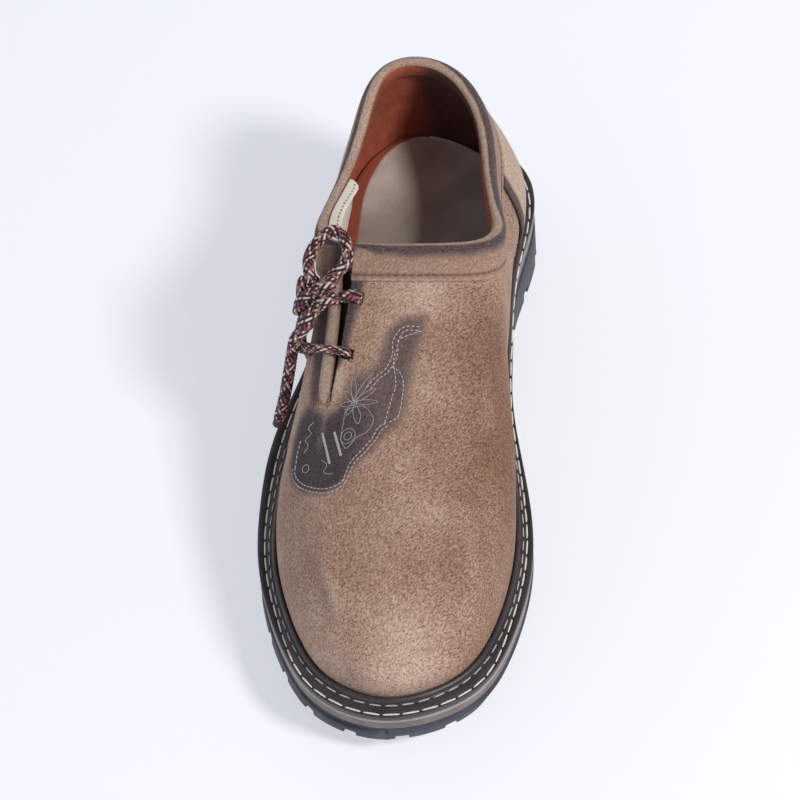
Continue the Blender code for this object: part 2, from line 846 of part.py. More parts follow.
def knot_face(towards):
    # Point just off the knot on the way to another point
    middle, axes = knot_frame()
    way = towards - middle
    way /= np.linalg.norm(way)
    reach = 1 / np.linalg.norm((axes @ way) / np.array(KNOT_HALF))
    return middle + (reach + KNOT_GAP) * way


def smooth_path(points, step):
    # Evenly spaced points on a smooth curve through a route's points
    points = np.array(points)
    padded = np.vstack([2 * points[0] - points[1], points, 2 * points[-1] - points[-2]])
    fine = []
    for index in range(1, len(padded) - 2):
        before, start, end, after = padded[index - 1 : index + 3]
        for share in np.linspace(0, 1, LACE_CURVE_STEPS, endpoint=False):
            cubic = (3 * start - 3 * end + after - before) * share**3
            square = (2 * before - 5 * start + 4 * end - after) * share**2
            fine.append(0.5 * (2 * start + (end - before) * share + square + cubic))
    fine = np.array(fine + [points[-1]])
    lengths = np.concatenate([[0.0], np.cumsum(np.linalg.norm(np.diff(fine, axis=0), axis=1))])
    at = np.linspace(0, lengths[-1], max(3, round(lengths[-1] / step) + 1))
    return np.array([[np.interp(a, lengths, fine[:, axis]) for axis in range(3)] for a in at])


def add_cord(route, collection, material):
    points = [stop_point(stop) for stop in route.stops]
    if route.knot_start:
        points.insert(0, knot_face(points[0]))
    if route.knot_end:
        points.append(knot_face(points[-1]))
    path = smooth_path(points, LACE_STEP)
    curve = bpy.data.curves.new(route.name, "CURVE")
    curve.dimensions = "3D"
    curve.bevel_depth = LACE_DIAMETER / 2 * MM
    curve.bevel_resolution = 2
    curve.use_fill_caps = True
    spline = curve.splines.new("POLY")
    spline.points.add(len(path) - 1)
    for point, place in zip(spline.points, path):
        point.co = (*(place * MM), 1.0)
    return add_object(route.name, curve, collection, material)


def build():
    for item in list(bpy.data.objects):
        bpy.data.objects.remove(item, do_unlink=True)
    parts = make_collection(SHOE)
    cutters = make_collection(SHOE + "_cutters")

    rubber = make_material("black_rubber", (0.012, 0.012, 0.013), 0.6)
    layer = make_material("taupe_layer", (0.16, 0.12, 0.1), 0.6)
    welt_leather = make_material("welt_leather", (0.035, 0.024, 0.02), 0.5)
    insole_leather = make_material("insole_leather", (0.5, 0.42, 0.34), 0.6)
    suede = make_material("tan_suede", (0.27, 0.17, 0.105), 0.95)
    band_suede = make_material("band_suede", (0.35, 0.22, 0.13), 0.95)
    panel_suede = make_material("panel_suede", (0.36, 0.24, 0.15), 0.95)
    binding_suede = make_material("binding_suede", (0.33, 0.23, 0.15), 0.95)
    tongue_leather = make_material("tongue_leather", (0.72, 0.62, 0.5), 0.8)
    lace_cord = make_material("lace_cord", (0.09, 0.05, 0.055), 0.85)

    outsole = add_object("outsole", outsole_mesh(), parts, rubber)
    cut(outsole, add_cutter("cutter_notches", notch_mesh(), cutters))
    cut(outsole, add_cutter("cutter_channels", channel_mesh(), cutters))
    cut(outsole, add_cutter("cutter_grooves", groove_mesh(), cutters))
    add_object("midsole", midsole_mesh(), parts, layer)
    add_object("welt", welt_mesh(), parts, welt_leather)
    add_object("insole", insole_mesh(), parts, insole_leather)
    upper = add_wall(add_object("upper", upper_mesh(), parts, suede), WALL, -1)
    cut(upper, add_cutter("cutter_lace_holes", hole_mesh(), cutters))
    add_object("collar_band", band_mesh(), parts, band_suede)
    add_wall(add_object("heel_counter", counter_mesh(), parts, panel_suede), COUNTER_THICK, 1)
    add_object("slit_binding", binding_mesh(), parts, binding_suede)
    add_wall(add_object("tongue", tongue_mesh(), parts, tongue_leather), TONGUE_THICK, -1)
    add_object("lace_knot", knot_mesh(), parts, lace_cord)
    for route in LACE_ROUTES:
        add_cord(route, parts, lace_cord)


build()
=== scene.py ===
import math
from contextlib import contextmanager

import bmesh
import bpy
import numpy as np
from mathutils import Euler, Matrix, Vector, noise
from mathutils.bvhtree import BVHTree


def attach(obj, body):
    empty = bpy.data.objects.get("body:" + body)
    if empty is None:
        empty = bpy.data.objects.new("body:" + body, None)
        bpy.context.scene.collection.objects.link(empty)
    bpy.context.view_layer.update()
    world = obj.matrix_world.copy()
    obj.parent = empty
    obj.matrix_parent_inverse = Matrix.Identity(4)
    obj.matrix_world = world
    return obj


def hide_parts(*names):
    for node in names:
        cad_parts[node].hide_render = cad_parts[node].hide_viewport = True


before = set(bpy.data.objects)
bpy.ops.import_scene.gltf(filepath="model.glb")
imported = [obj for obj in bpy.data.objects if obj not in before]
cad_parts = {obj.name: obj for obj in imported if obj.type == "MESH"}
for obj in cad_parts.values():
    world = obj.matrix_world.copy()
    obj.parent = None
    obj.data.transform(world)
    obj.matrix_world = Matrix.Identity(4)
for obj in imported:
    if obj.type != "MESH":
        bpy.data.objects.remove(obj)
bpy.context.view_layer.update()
mm = 0.001  # all sizes below are in millimetres


def unit(ways):  # each way at length 1
    return ways / np.linalg.norm(ways, axis=-1, keepdims=True)


def runOf(path):  # running length along a line of points
    return np.concatenate([[0.0], np.cumsum(np.linalg.norm(np.diff(path, axis=0), axis=1))])


def smoothStep(low, high, value):
    share = np.clip((value - low) / (high - low), 0, 1)
    return share * share * (3 - 2 * share)


def plateau(ends, value):  # rises between the first two ends and falls between the last two
    start, full, fade, stop = ends
    return smoothStep(start, full, value) * smoothStep(stop, fade, value)


# The last: the same sections as the solids, heel back first, round the outer side to the toe
last = {
    "seatGap": 0.3,
    "wall": 2.2,
    "slitSection": 8,
    "slitLength": 66.0,
    "slitHalfGap": 0.13,
    "slitRearGap": 0.55,  # the soft rear edge stands further back at the collar
    "slitSpread": 3.0,
    "curvePoints": 161,
    "curvesPerSection": 80,
    "curveShares": 241,
    "aroundStep": 0.05,  # of a section, and millimetres down the wall, to find the way out
    "downStep": 0.5,
}
columns = "rimX rimY inset collarX collarY collarZ wallOut wallRise crownShare crownLift crownOut".split()
sections = [
    ("heel back", 10, 144.5, 9.0, 5.5, 135.5, 93, 7, 22, 0.66, 0, 4),
    ("heel outer corner", -19, 131.5, 8.0, -10, 128, 91.5, 6, 22, 0.66, 0, 3),
    ("heel outer side", -33, 104, 8.0, -17, 108, 86, 5, 21, 0.66, 1, 2),
    ("rear quarter outer", -34, 71, 7.0, -22.5, 86, 82, 5, 20, 0.66, 2, 2),
    ("waist outer", -37.5, 31, 7.0, -28.5, 64, 84, 3, 20, 0.66, 4, -2),
    ("front quarter outer", -51, -8, 9.5, -31.5, 47, 88.5, 0, 22, 0.6, 3, -7),
    ("instep outer", -56.2, -44, 9.4, -28, 38, 92, 3, 25, 0.55, 9, -4),
    ("ball outer", -54, -80, 8.8, -22.5, 34, 94.5, 6, 30, 0.5, 11, 0),
    ("slit", -41, -118.5, 8.8, -16.5, 32, 96, 8, 38, 0.5, 9, 0),
    ("toe outer corner", -24, -139.8, 10.1, -6.5, 31, 97, 11, 46, 0.49, 7, 0),
    ("toe", 2, -147.6, 10.3, 4, 30.5, 97.5, 12, 47, 0.48, 6, 0),
    ("toe inner corner", 32, -135.2, 10.2, 14, 30.8, 97.2, 10, 44, 0.49, 7, 0),
    ("ball inner front", 48, -107.5, 8.8, 23, 31.5, 96.5, 7, 38, 0.5, 9, 0),
    ("ball inner", 56, -68, 8.5, 31.5, 33.5, 95, 6, 34, 0.52, 10, 1),
    ("instep inner", 52.5, -28, 7.5, 39, 38.5, 92.5, 6, 29, 0.56, 9, 3),
    ("front quarter inner", 47.5, 4, 6.0, 42.5, 47, 89, 7, 25, 0.6, 6, 2),
    ("waist inner", 47, 35, 5.5, 41.5, 60, 85, 10.5, 24, 0.64, 3, 0.5),
    ("rear quarter inner", 49, 66, 5.5, 38.5, 82, 82, 12.5, 25, 0.66, 2, -1),
    ("heel inner side", 56, 100, 8.5, 35.5, 106, 86, 10.5, 25, 0.66, 1, -1),
    ("heel inner corner", 45, 129, 9.5, 24, 128, 91, 5, 22, 0.66, 0, 3),
]
bed = [
    (-150, 26.8), (-125, 22.2), (-95, 18.6), (-60, 17.4), (-20, 19), (20, 24), (60, 30), (100, 33), (150, 34),
]
turn = len(sections)


def splineBends(values):  # second derivatives of a closed cubic spline
    own = np.eye(len(values))
    system = 4 * own + np.roll(own, 1, axis=0) + np.roll(own, -1, axis=0)
    change = np.roll(values, -1, axis=0) - 2 * values + np.roll(values, 1, axis=0)
    return np.linalg.solve(system, 6 * change)


sectionValues = np.array([row[1:] for row in sections], float)
sectionBends = splineBends(sectionValues)


def sectionsAt(places):
    places = np.asarray(places, float)
    start = np.floor(places).astype(int)
    share = (places - start)[..., None]
    rest = 1 - share
    low = start % turn
    high = (start + 1) % turn
    straight = rest * sectionValues[low] + share * sectionValues[high]
    bent = (rest**3 - rest) * sectionBends[low] + (share**3 - share) * sectionBends[high]
    return straight + bent / 6


def column(rows, name):
    return rows[..., columns.index(name)]


def smoothHeight(table, y):
    ys, zs = np.array(table, float).T
    slopes = np.gradient(zs, ys)
    index = np.clip(np.searchsorted(ys, y) - 1, 0, len(ys) - 2)
    span = ys[index + 1] - ys[index]
    share = (y - ys[index]) / span
    fromLow = (1 + 2 * share) * (1 - share) ** 2 * zs[index]
    fromHigh = share**2 * (3 - 2 * share) * zs[index + 1]
    leanLow = share * (1 - share) ** 2 * slopes[index] * span
    leanHigh = share**2 * (share - 1) * slopes[index + 1] * span
    return fromLow + fromHigh + leanLow + leanHigh


def rimPoints(places, inset=0.0):  # plan points on the sole's outline, and the way out
    step = 0.02
    here = sectionsAt(places)
    along = sectionsAt(np.asarray(places) + step) - sectionsAt(np.asarray(places) - step)
    along = unit(along[..., :2])
    out = np.stack([along[..., 1], -along[..., 0]], axis=-1)
    return here[..., :2] - np.asarray(inset)[..., None] * out, out


def buildWallTable():  # evenly spaced points down each section's curve
    count = turn * last["curvesPerSection"]
    places = np.arange(count) / last["curvesPerSection"]
    rows = sectionsAt(places)
    plan, out = rimPoints(places, column(rows, "inset"))
    out = np.column_stack([out, np.zeros(count)])
    foot = np.column_stack([plan, smoothHeight(bed, plan[:, 1]) + last["seatGap"]])
    first = columns.index("collarX")
    collar = rows[:, first : first + 3]
    up = np.array([0.0, 0.0, 1.0])
    wall = foot + column(rows, "wallOut")[:, None] * out + column(rows, "wallRise")[:, None] * up
    crown = foot + column(rows, "crownShare")[:, None] * (collar - foot)
    crown = crown + column(rows, "crownLift")[:, None] * up + column(rows, "crownOut")[:, None] * out
    share = np.linspace(0, 1, last["curvePoints"])[None, :, None]
    rest = 1 - share
    curve = rest**3 * foot[:, None] + 3 * rest**2 * share * wall[:, None]
    curve = curve + 3 * rest * share**2 * crown[:, None] + share**3 * collar[:, None]
    steps = np.linalg.norm(np.diff(curve, axis=1), axis=2)
    running = np.concatenate([np.zeros((count, 1)), np.cumsum(steps, axis=1)], axis=1)
    total = running[:, -1]
    even = np.empty((count, last["curveShares"], 3))
    for index in range(count):
        at = total[index] * (1 - np.linspace(0, 1, last["curveShares"]))
        for axis in range(3):
            even[index, :, axis] = np.interp(at, running[index], curve[index, :, axis])
    ends = curve[:, -1] - curve[:, -6]
    return even, total, unit(ends)


wallCurves, wallTotals, wallEnds = buildWallTable()


def wallLength(places):
    at = (np.asarray(places, float) % turn) * last["curvesPerSection"]
    return np.interp(at, np.arange(len(wallTotals) + 1), np.append(wallTotals, wallTotals[0]))


def onCurves(index, drop):
    share = np.clip(drop / wallTotals[index], 0, 1) * (last["curveShares"] - 1)
    low = np.minimum(share.astype(int), last["curveShares"] - 2)
    part = (share - low)[..., None]
    point = wallCurves[index, low] * (1 - part) + wallCurves[index, low + 1] * part
    return point - np.minimum(drop, 0.0)[..., None] * wallEnds[index]


def slitShift(place, drop):  # the slit gapes towards the collar
    left = np.clip(1 - np.maximum(drop, 0.0) / last["slitLength"], 0, 1)
    gape = last["slitHalfGap"] * np.sqrt(left)
    after = place - last["slitSection"]
    before = last["slitSection"] + turn - place
    lead, trail = (np.clip(1 - way / last["slitSpread"], 0, None) for way in (after, before))
    return gape * lead - (gape + last["slitRearGap"] * left**2) * trail


def bareWall(place, drop, gaping):
    if gaping:
        place = place + slitShift(place, drop)
    at = (place % turn) * last["curvesPerSection"]
    low = np.floor(at).astype(int)
    part = (at - low)[..., None]
    count = len(wallTotals)
    return onCurves(low % count, drop) * (1 - part) + onCurves((low + 1) % count, drop) * part


def wallPoints(place, drop, offset=0.0, gaping=True, normals=False):
    place, drop, offset = np.broadcast_arrays(*(np.asarray(v, float) for v in (place, drop, offset)))
    low = place - last["aroundStep"]
    high = place + last["aroundStep"]
    step = last["downStep"]
    if gaping:  # no step across the open slit
        isOpen = drop < last["slitLength"]
        low = np.where(isOpen, np.maximum(low, last["slitSection"]), low)
        high = np.where(isOpen, np.minimum(high, last["slitSection"] + turn), high)
    around = bareWall(high, drop, gaping) - bareWall(low, drop, gaping)
    upward = bareWall(place, drop - step, gaping) - bareWall(place, drop + step, gaping)
    out = unit(np.cross(around, upward))
    points = bareWall(place, drop, gaping) + offset[..., None] * out
    return (points, out) if normals else points


print("last ready, wall lengths", wallTotals.min().round(1), "to", wallTotals.max().round(1))


# Small helpers for meshes, attributes and soft shapes
def gridMesh(name, points, roundRows=False, roundColumns=False):
    rows, cols = points.shape[:2]
    index = np.arange(rows * cols).reshape(rows, cols)
    if roundRows:
        index = np.vstack([index, index[:1]])
    if roundColumns:
        index = np.hstack([index, index[:, :1]])
    quads = np.stack([index[:-1, :-1], index[:-1, 1:], index[1:, 1:], index[1:, :-1]], axis=-1)
    mesh = bpy.data.meshes.new(name)
    mesh.from_pydata((points.reshape(-1, 3) * mm).tolist(), [], quads.reshape(-1, 4).tolist())
    mesh.shade_smooth()
    return mesh


def paint(mesh, **layers):  # one value for each point
    for name, values in layers.items():
        layer = mesh.attributes.new(name, "FLOAT", "POINT")
        layer.data.foreach_set("value", np.asarray(values, np.float32).ravel())


def paintColour(mesh, name, colours):
    layer = mesh.attributes.new(name, "FLOAT_COLOR", "POINT")
    full = np.concatenate([colours, np.ones((len(colours), 1))], axis=1)
    layer.data.foreach_set("color", full.astype(np.float32).ravel())


def addPiece(name, mesh, *materials):
    item = bpy.data.objects.new(name, mesh)
    bpy.context.scene.collection.objects.link(item)
    for material in materials:
        item.data.materials.append(material)
    return item


def settle(item):  # modifiers become plain mesh
    depsgraph = bpy.context.evaluated_depsgraph_get()
    mesh = bpy.data.meshes.new_from_object(item.evaluated_get(depsgraph), depsgraph=depsgraph)
    item.modifiers.clear()
    item.data = mesh
    return item


@contextmanager
def editing(mesh):  # the mesh as a bmesh, written back at the end
    work = bmesh.new()
    work.from_mesh(mesh)
    yield work
    work.to_mesh(mesh)
    work.free()


def closeEnds(mesh):  # caps open ends and turns all faces outwards
    with editing(mesh) as work:
        bmesh.ops.holes_fill(work, edges=[edge for edge in work.edges if edge.is_boundary])
        bmesh.ops.recalc_face_normals(work, faces=work.faces)


def thicken(item, thick, offset, edge):  # a sheet becomes a wall with soft edges
    wall = item.modifiers.new("thickness", "SOLIDIFY")
    wall.thickness = thick * mm
    wall.offset = offset
    soft = item.modifiers.new("softEdge", "BEVEL")
    soft.width = edge * mm
    soft.segments = 2


def dress(item, slotName, *nodes):  # the piece goes with the shoe and stands for its solids
    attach(item, "root")
    if nodes:
        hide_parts(*nodes)
    return item


def lineDistance(points, line):  # distance in millimetres from points to a polyline
    flat = points.reshape(-1, points.shape[-1])
    best = np.full(len(flat), np.inf)
    for start, end in zip(line[:-1], line[1:]):
        way = end - start
        share = np.clip(((flat - start) @ way) / (way @ way), 0, 1)
        best = np.minimum(best, np.linalg.norm(flat - start - share[:, None] * way, axis=1))
    return best.reshape(points.shape[:-1])


def ripple(points, size, height, seed):  # soft waves at each point
    shift = seed * Vector((17.3, 5.1, 11.7))
    flat = points.reshape(-1, 3) / size
    return height * np.array([noise.noise(Vector(p) + shift) for p in flat]).reshape(points.shape[:-1])


def smoothPath(points, step):  # evenly spaced points on a smooth curve
    points = np.array(points, float)
    padded = np.vstack([2 * points[0] - points[1], points, 2 * points[-1] - points[-2]])
    fine = []
    for index in range(1, len(padded) - 2):
        before, start, end, after = padded[index - 1 : index + 3]
        for share in np.arange(16) / 16:
            cubic = (3 * start - 3 * end + after - before) * share**3
            square = (2 * before - 5 * start + 4 * end - after) * share**2
            fine.append(0.5 * (2 * start + (end - before) * share + square + cubic))
    fine = np.array(fine + [points[-1]])
    running = runOf(fine)
    at = np.linspace(0, running[-1], max(3, round(running[-1] / step) + 1))
    return np.array([np.interp(at, running, fine[:, axis]) for axis in range(points.shape[1])]).T


# Materials
class NodeDesk:  # short ways to add and join nodes
    def __init__(self, tree):
        self.tree = tree

    def feed(self, socket, value):  # another node's socket is joined, a plain value is set
        if isinstance(value, bpy.types.NodeSocket):
            self.tree.links.new(value, socket)
        elif socket.type == "RGBA" and len(value) == 3:
            socket.default_value = (*value, 1.0)
        else:
            socket.default_value = value

    def add(self, kind, settings=(), **inputs):  # gives the new node's outputs
        node = self.tree.nodes.new(kind)
        for name, value in dict(settings).items():
            setattr(node, name, value)
        for name, value in inputs.items():
            self.feed(node.inputs[name.replace("_", " ")], value)
        return node.outputs

    def math(self, kind, *values, clamp=False):
        node = self.tree.nodes.new("ShaderNodeMath")
        node.operation = kind
        node.use_clamp = clamp
        for socket, value in zip(node.inputs, values):
            self.feed(socket, value)
        return node.outputs["Value"]


class FinishDesk(NodeDesk):  # a new material's nodes, on object coordinates
    def __init__(self, name):
        self.material = bpy.data.materials.new(name)
        self.material.use_nodes = True
        super().__init__(self.material.node_tree)
        self.shader = self.tree.nodes["Principled BSDF"]
        self.spot = self.add("ShaderNodeTexCoord")["Object"]

    def noise(self, size, detail=2.0, rough=0.6, turnBy=None):  # size in millimetres, or one each way, turned
        spot = self.stretched(size, turnBy) if turnBy else self.spot
        scale = 1.0 if turnBy else 1 / (size * mm)
        return self.add("ShaderNodeTexNoise", Vector=spot, Scale=scale, Detail=detail, Roughness=rough)["Fac"]

    def stretched(self, size, turnBy):
        scale = [s * mm for s in size]
        laid = {"vector_type": "TEXTURE"}
        return self.add("ShaderNodeMapping", laid, Vector=self.spot, Rotation=turnBy, Scale=scale)["Vector"]

    def blend(self, values, weights):  # weighted sum
        total = 0.0
        for value, weight in zip(values, weights):
            total = self.math("ADD", self.math("MULTIPLY", value, weight), total)
        return total

    def ramp(self, value, low, high):  # 0 below low, 1 above high
        return self.add("ShaderNodeMapRange", Value=value, From_Min=low, From_Max=high)["Result"]

    def mix(self, share, one, two, kind="MIX"):
        node = self.tree.nodes.new("ShaderNodeMix")
        node.data_type = "RGBA"
        node.blend_type = kind
        colours = [s for s in node.inputs if s.type == "RGBA"]
        for socket, value in zip([node.inputs["Factor"], *colours], (share, one, two)):
            self.feed(socket, value)
        return [s for s in node.outputs if s.type == "RGBA"][0]

    def painted(self, name, kind="Fac"):
        return self.add("ShaderNodeAttribute", {"attribute_name": name})[kind]

    def bump(self, height, distance, strength):
        return self.add("ShaderNodeBump", Height=height, Distance=distance * mm, Strength=strength)["Normal"]

    def finish(self, colour, roughness, **fixed):
        for name, value in {"Base_Color": colour, "Roughness": roughness, **fixed}.items():
            self.feed(self.shader.inputs[name.replace("_", " ")], value)
        return self.material


suedeLooks = {
    "upper": {"dark": (0.16, 0.092, 0.062), "light": (0.522, 0.344, 0.262), "mottling": 1.5},
    "band": {"dark": (0.22, 0.138, 0.102), "light": (0.415, 0.273, 0.21), "mottling": 1.0},
    "panel": {"dark": (0.33, 0.235, 0.18), "light": (0.58, 0.43, 0.34), "mottling": 0.8},
    "binding": {"dark": (0.24, 0.165, 0.122), "light": (0.43, 0.31, 0.24), "mottling": 0.6},
    "deepTint": (0.58, 0.48, 0.42),
    "pale": (0.68, 0.525, 0.435),
    "burnish": (0.05, 0.036, 0.041),
    "burnishWorn": (0.2, 0.138, 0.128),
    "burnishDeep": (0.5, 0.5, 0.54),
    "napSize": 0.66,
    "fuzzSize": 0.34,
    "streakSize": (0.45, 1.4, 0.75),  # across, along and through the brushed lie of the nap
    "streakTurn": (0.0, -0.5, -0.785),
    "mottleSize": 24.0,
    "grainBlend": (0.35, 0.15, 0.5),  # of nap, fuzz and brushed streaks, in the colour and in the pile
    "pileBlend": (0.7, 0.5, 0.6),
    "grain": (0.4, 0.612),  # noise levels of the darkest and the palest fibres
    "paleGrain": (0.3, 0.62),
    "burnGrain": (0.4, 0.64),
    "burnEdge": (0.08, 0.68),  # ragged edge of a burnished place
    "burnFrom": (0.02, 0.2),
    "burnFull": (0.6, 1.0),  # burnish that turns deep
    "rough": (0.97, 0.75),  # of the plain and of the burnished nap
    "pile": (0.4, 0.6),  # bump's depth in millimetres, and strength
}


def suedeMaterial(name, look):  # attributes: tone from deep (-1) to pale (1), partly painted shade and painted highlights, and burnish
    desk = FinishDesk(name)
    shared = suedeLooks
    brushed = desk.noise(shared["streakSize"], rough=0.5, turnBy=shared["streakTurn"])
    fibres = (desk.noise(shared["napSize"]), desk.noise(shared["fuzzSize"]), brushed)
    patches = desk.math("SUBTRACT", desk.noise(shared["mottleSize"], 4.0, 0.55), 0.5)
    grain = desk.blend(fibres, shared["grainBlend"])
    colour = desk.mix(desk.ramp(grain, *shared["grain"]), look["dark"], look["light"])
    tone = desk.blend((desk.painted("tone"), patches), (1.0, look["mottling"]))
    deep = desk.math("MULTIPLY", tone, -1.0, clamp=True)
    colour = desk.mix(deep, colour, shared["deepTint"], "MULTIPLY")
    pale = desk.math("MULTIPLY", tone, desk.ramp(grain, *shared["paleGrain"]), clamp=True)
    colour = desk.mix(pale, colour, shared["pale"])
    burnish = desk.painted("burnish")
    burnt = desk.mix(desk.ramp(grain, *shared["burnGrain"]), shared["burnish"], shared["burnishWorn"])
    burnt = desk.mix(desk.ramp(burnish, *shared["burnFull"]), burnt, shared["burnishDeep"], "MULTIPLY")
    edge = desk.blend((burnish, desk.math("SUBTRACT", grain, 0.5), patches), (1.0, 1.0, 0.5))
    started = desk.ramp(burnish, *shared["burnFrom"])
    cover = desk.math("MULTIPLY", desk.ramp(edge, *shared["burnEdge"]), started)
    plain, smooth = shared["rough"]
    rough = desk.math("SUBTRACT", plain, desk.math("MULTIPLY", cover, plain - smooth))
    depth = desk.math("SUBTRACT", 1.0, desk.math("MULTIPLY", cover, 0.5))
    pile = desk.math("MULTIPLY", desk.blend(fibres, shared["pileBlend"]), depth)
    return desk.finish(
        desk.mix(cover, colour, burnt),
        rough,
        Normal=desk.bump(pile, *shared["pile"]),
        Sheen_Weight=0.08,
        Sheen_Roughness=0.6,
        Specular_IOR_Level=0.12,
    )


suedePieces = ("upper", "band", "panel", "binding")
suede = {piece: suedeMaterial(piece + "Suede", suedeLooks[piece]) for piece in suedePieces}

liningLooks = {
    "rust": (0.355, 0.089, 0.05),
    "rustDark": (0.22, 0.046, 0.024),
    "worn": (0.24, 0.44, 0.7),  # painted shade: tint of the lining on the inner side and at the back, where it lies in shadow
    "cream": (0.62, 0.52, 0.4),
    "creamDark": (0.496, 0.416, 0.32),
    "insoleShadeTint": (0.6, 0.58, 0.56),  # painted shade: tint of the insole's front, under the tongue and knot
}


def liningMaterial():
    desk = FinishDesk("liningSuede")
    look = liningLooks
    fuzz = desk.noise(0.6, 3.0)
    tone = desk.ramp(desk.blend((fuzz, desk.noise(7.0, 4.0)), (0.5, 0.5)), 0.34, 0.64)
    rust = desk.mix(tone, look["rustDark"], look["rust"])
    # painted shade darkens the rust lining on the inner side and at the back
    rust = desk.mix(desk.painted("worn"), rust, look["worn"], "MULTIPLY")
    cream = desk.mix(tone, look["creamDark"], look["cream"])
    colour = desk.mix(desk.ramp(desk.painted("cream"), 0.45, 0.55), rust, cream)
    normal = desk.bump(fuzz, 0.3, 0.6)
    return desk.finish(colour, 0.94, Normal=normal, Sheen_Weight=0.05, Specular_IOR_Level=0.1)


def leatherMaterial(name, dark, light, grainSize, rough, depth, coat=0.0, backing=None):
    desk = FinishDesk(name)
    soft = {"feature": "SMOOTH_F1"}
    cells = desk.add("ShaderNodeTexVoronoi", soft, Vector=desk.spot, Scale=1 / (grainSize * mm))["Distance"]
    cloud = desk.noise(18.0, 4.0, 0.55)
    grain = desk.blend((cells, desk.noise(0.4 * grainSize, 2.0, 0.5)), (0.6, 0.4))
    tone = desk.ramp(desk.blend((cloud, grain), (0.75, 0.25)), 0.3, 0.68)
    colour = desk.mix(tone, dark, light)
    if backing:
        # painted shade on the insole's front, under the tongue and knot
        colour = desk.mix(desk.painted("insoleShade"), colour, liningLooks["insoleShadeTint"], "MULTIPLY")
        # the lining's fold on the insole, and painted shade on the tongue's front
        colour = desk.mix(desk.painted("backing"), colour, backing)
    shine = desk.math("ADD", rough - 0.08, desk.math("MULTIPLY", cloud, 0.16))
    normal = desk.bump(grain, depth, 0.6)
    return desk.finish(colour, shine, Normal=normal, Coat_Weight=coat, Coat_Roughness=0.35)


def rubberMaterial(name, dark, light, dust, rough):
    desk = FinishDesk(name)
    fine = desk.noise(0.35)
    cloud = desk.noise(14.0, 4.0)
    colour = desk.mix(desk.ramp(cloud, 0.35, 0.7), dark, light)
    dusty = desk.blend((cloud, fine, desk.painted("edge")), (1.0, 0.3, 0.6))
    colour = desk.mix(desk.ramp(dusty, 0.66, 1.15), colour, dust)
    shine = desk.math("ADD", rough - 0.06, desk.math("MULTIPLY", fine, 0.14))
    return desk.finish(colour, shine, Normal=desk.bump(fine, 0.12, 0.4), Specular_IOR_Level=0.25)


def threadMaterial(name, dark, light):
    desk = FinishDesk(name)
    slanted = desk.stretched((0.9, 0.9, 0.9), (0.4, 0.3, 0.8))
    twist = desk.add("ShaderNodeTexWave", Vector=slanted, Scale=1.0, Distortion=2.5)["Fac"]
    tone = desk.blend((twist, desk.noise(0.3)), (0.5, 0.5))
    colour = desk.mix(desk.ramp(tone, 0.2, 0.8), dark, light)
    return desk.finish(colour, 0.75, Normal=desk.bump(tone, 0.1, 0.5), Sheen_Weight=0.2)


def braidMaterial():
    desk = FinishDesk("braidedCord")
    fibre = desk.noise(0.22)
    shade = desk.math("ADD", 0.62, desk.math("MULTIPLY", fibre, 0.7))
    grey = desk.add("ShaderNodeCombineColor", Red=shade, Green=shade, Blue=shade)["Color"]
    colour = desk.mix(1.0, desk.painted("strand", "Color"), grey, "MULTIPLY")
    normal = desk.bump(fibre, 0.12, 0.5)
    return desk.finish(colour, 0.75, Normal=normal, Sheen_Weight=0.06, Specular_IOR_Level=0.3)


lining = liningMaterial()
cutEdge = leatherMaterial("cutEdge", (0.12, 0.075, 0.05), (0.24, 0.16, 0.11), 0.5, 0.85, 0.15)
insoleLeather = leatherMaterial(
    "insoleLeather", (0.4, 0.335, 0.3), (0.6, 0.53, 0.49), 0.9, 0.55, 0.05, backing=(0.25, 0.058, 0.032)
)
# its front's face is painted dark: painted shade inside the slit's gap
tongueLeather = leatherMaterial(
    "tongueLeather", (0.62, 0.53, 0.45), (0.8, 0.72, 0.64), 0.8, 0.75, 0.12, backing=(0.05, 0.03, 0.024)
)
weltLeather = leatherMaterial(
    "weltLeather", (0.018, 0.014, 0.017), (0.058, 0.046, 0.053), 0.7, 0.45, 0.1, coat=0.1
)
midsoleLayer = rubberMaterial(
    "midsoleLayer", (0.16, 0.13, 0.122), (0.25, 0.212, 0.205), (0.33, 0.29, 0.28), 0.62
)
outsoleRubber = rubberMaterial(
    "outsoleRubber", (0.043, 0.043, 0.056), (0.066, 0.066, 0.088), (0.125, 0.125, 0.166), 0.6
)
threadColours = {  # dark and light side of the twist
    "white": ((0.5, 0.47, 0.43), (0.92, 0.9, 0.86)),
    "dull": ((0.3, 0.28, 0.27), (0.68, 0.65, 0.62)),
    "grey": ((0.24, 0.22, 0.22), (0.5, 0.48, 0.48)),
    "rust": ((0.11, 0.022, 0.018), (0.3, 0.08, 0.055)),
    "dark": ((0.09, 0.07, 0.06), (0.22, 0.17, 0.15)),
}
thread = {name: threadMaterial(name + "Thread", *colours) for name, colours in threadColours.items()}
braid = braidMaterial()
print("materials ready")


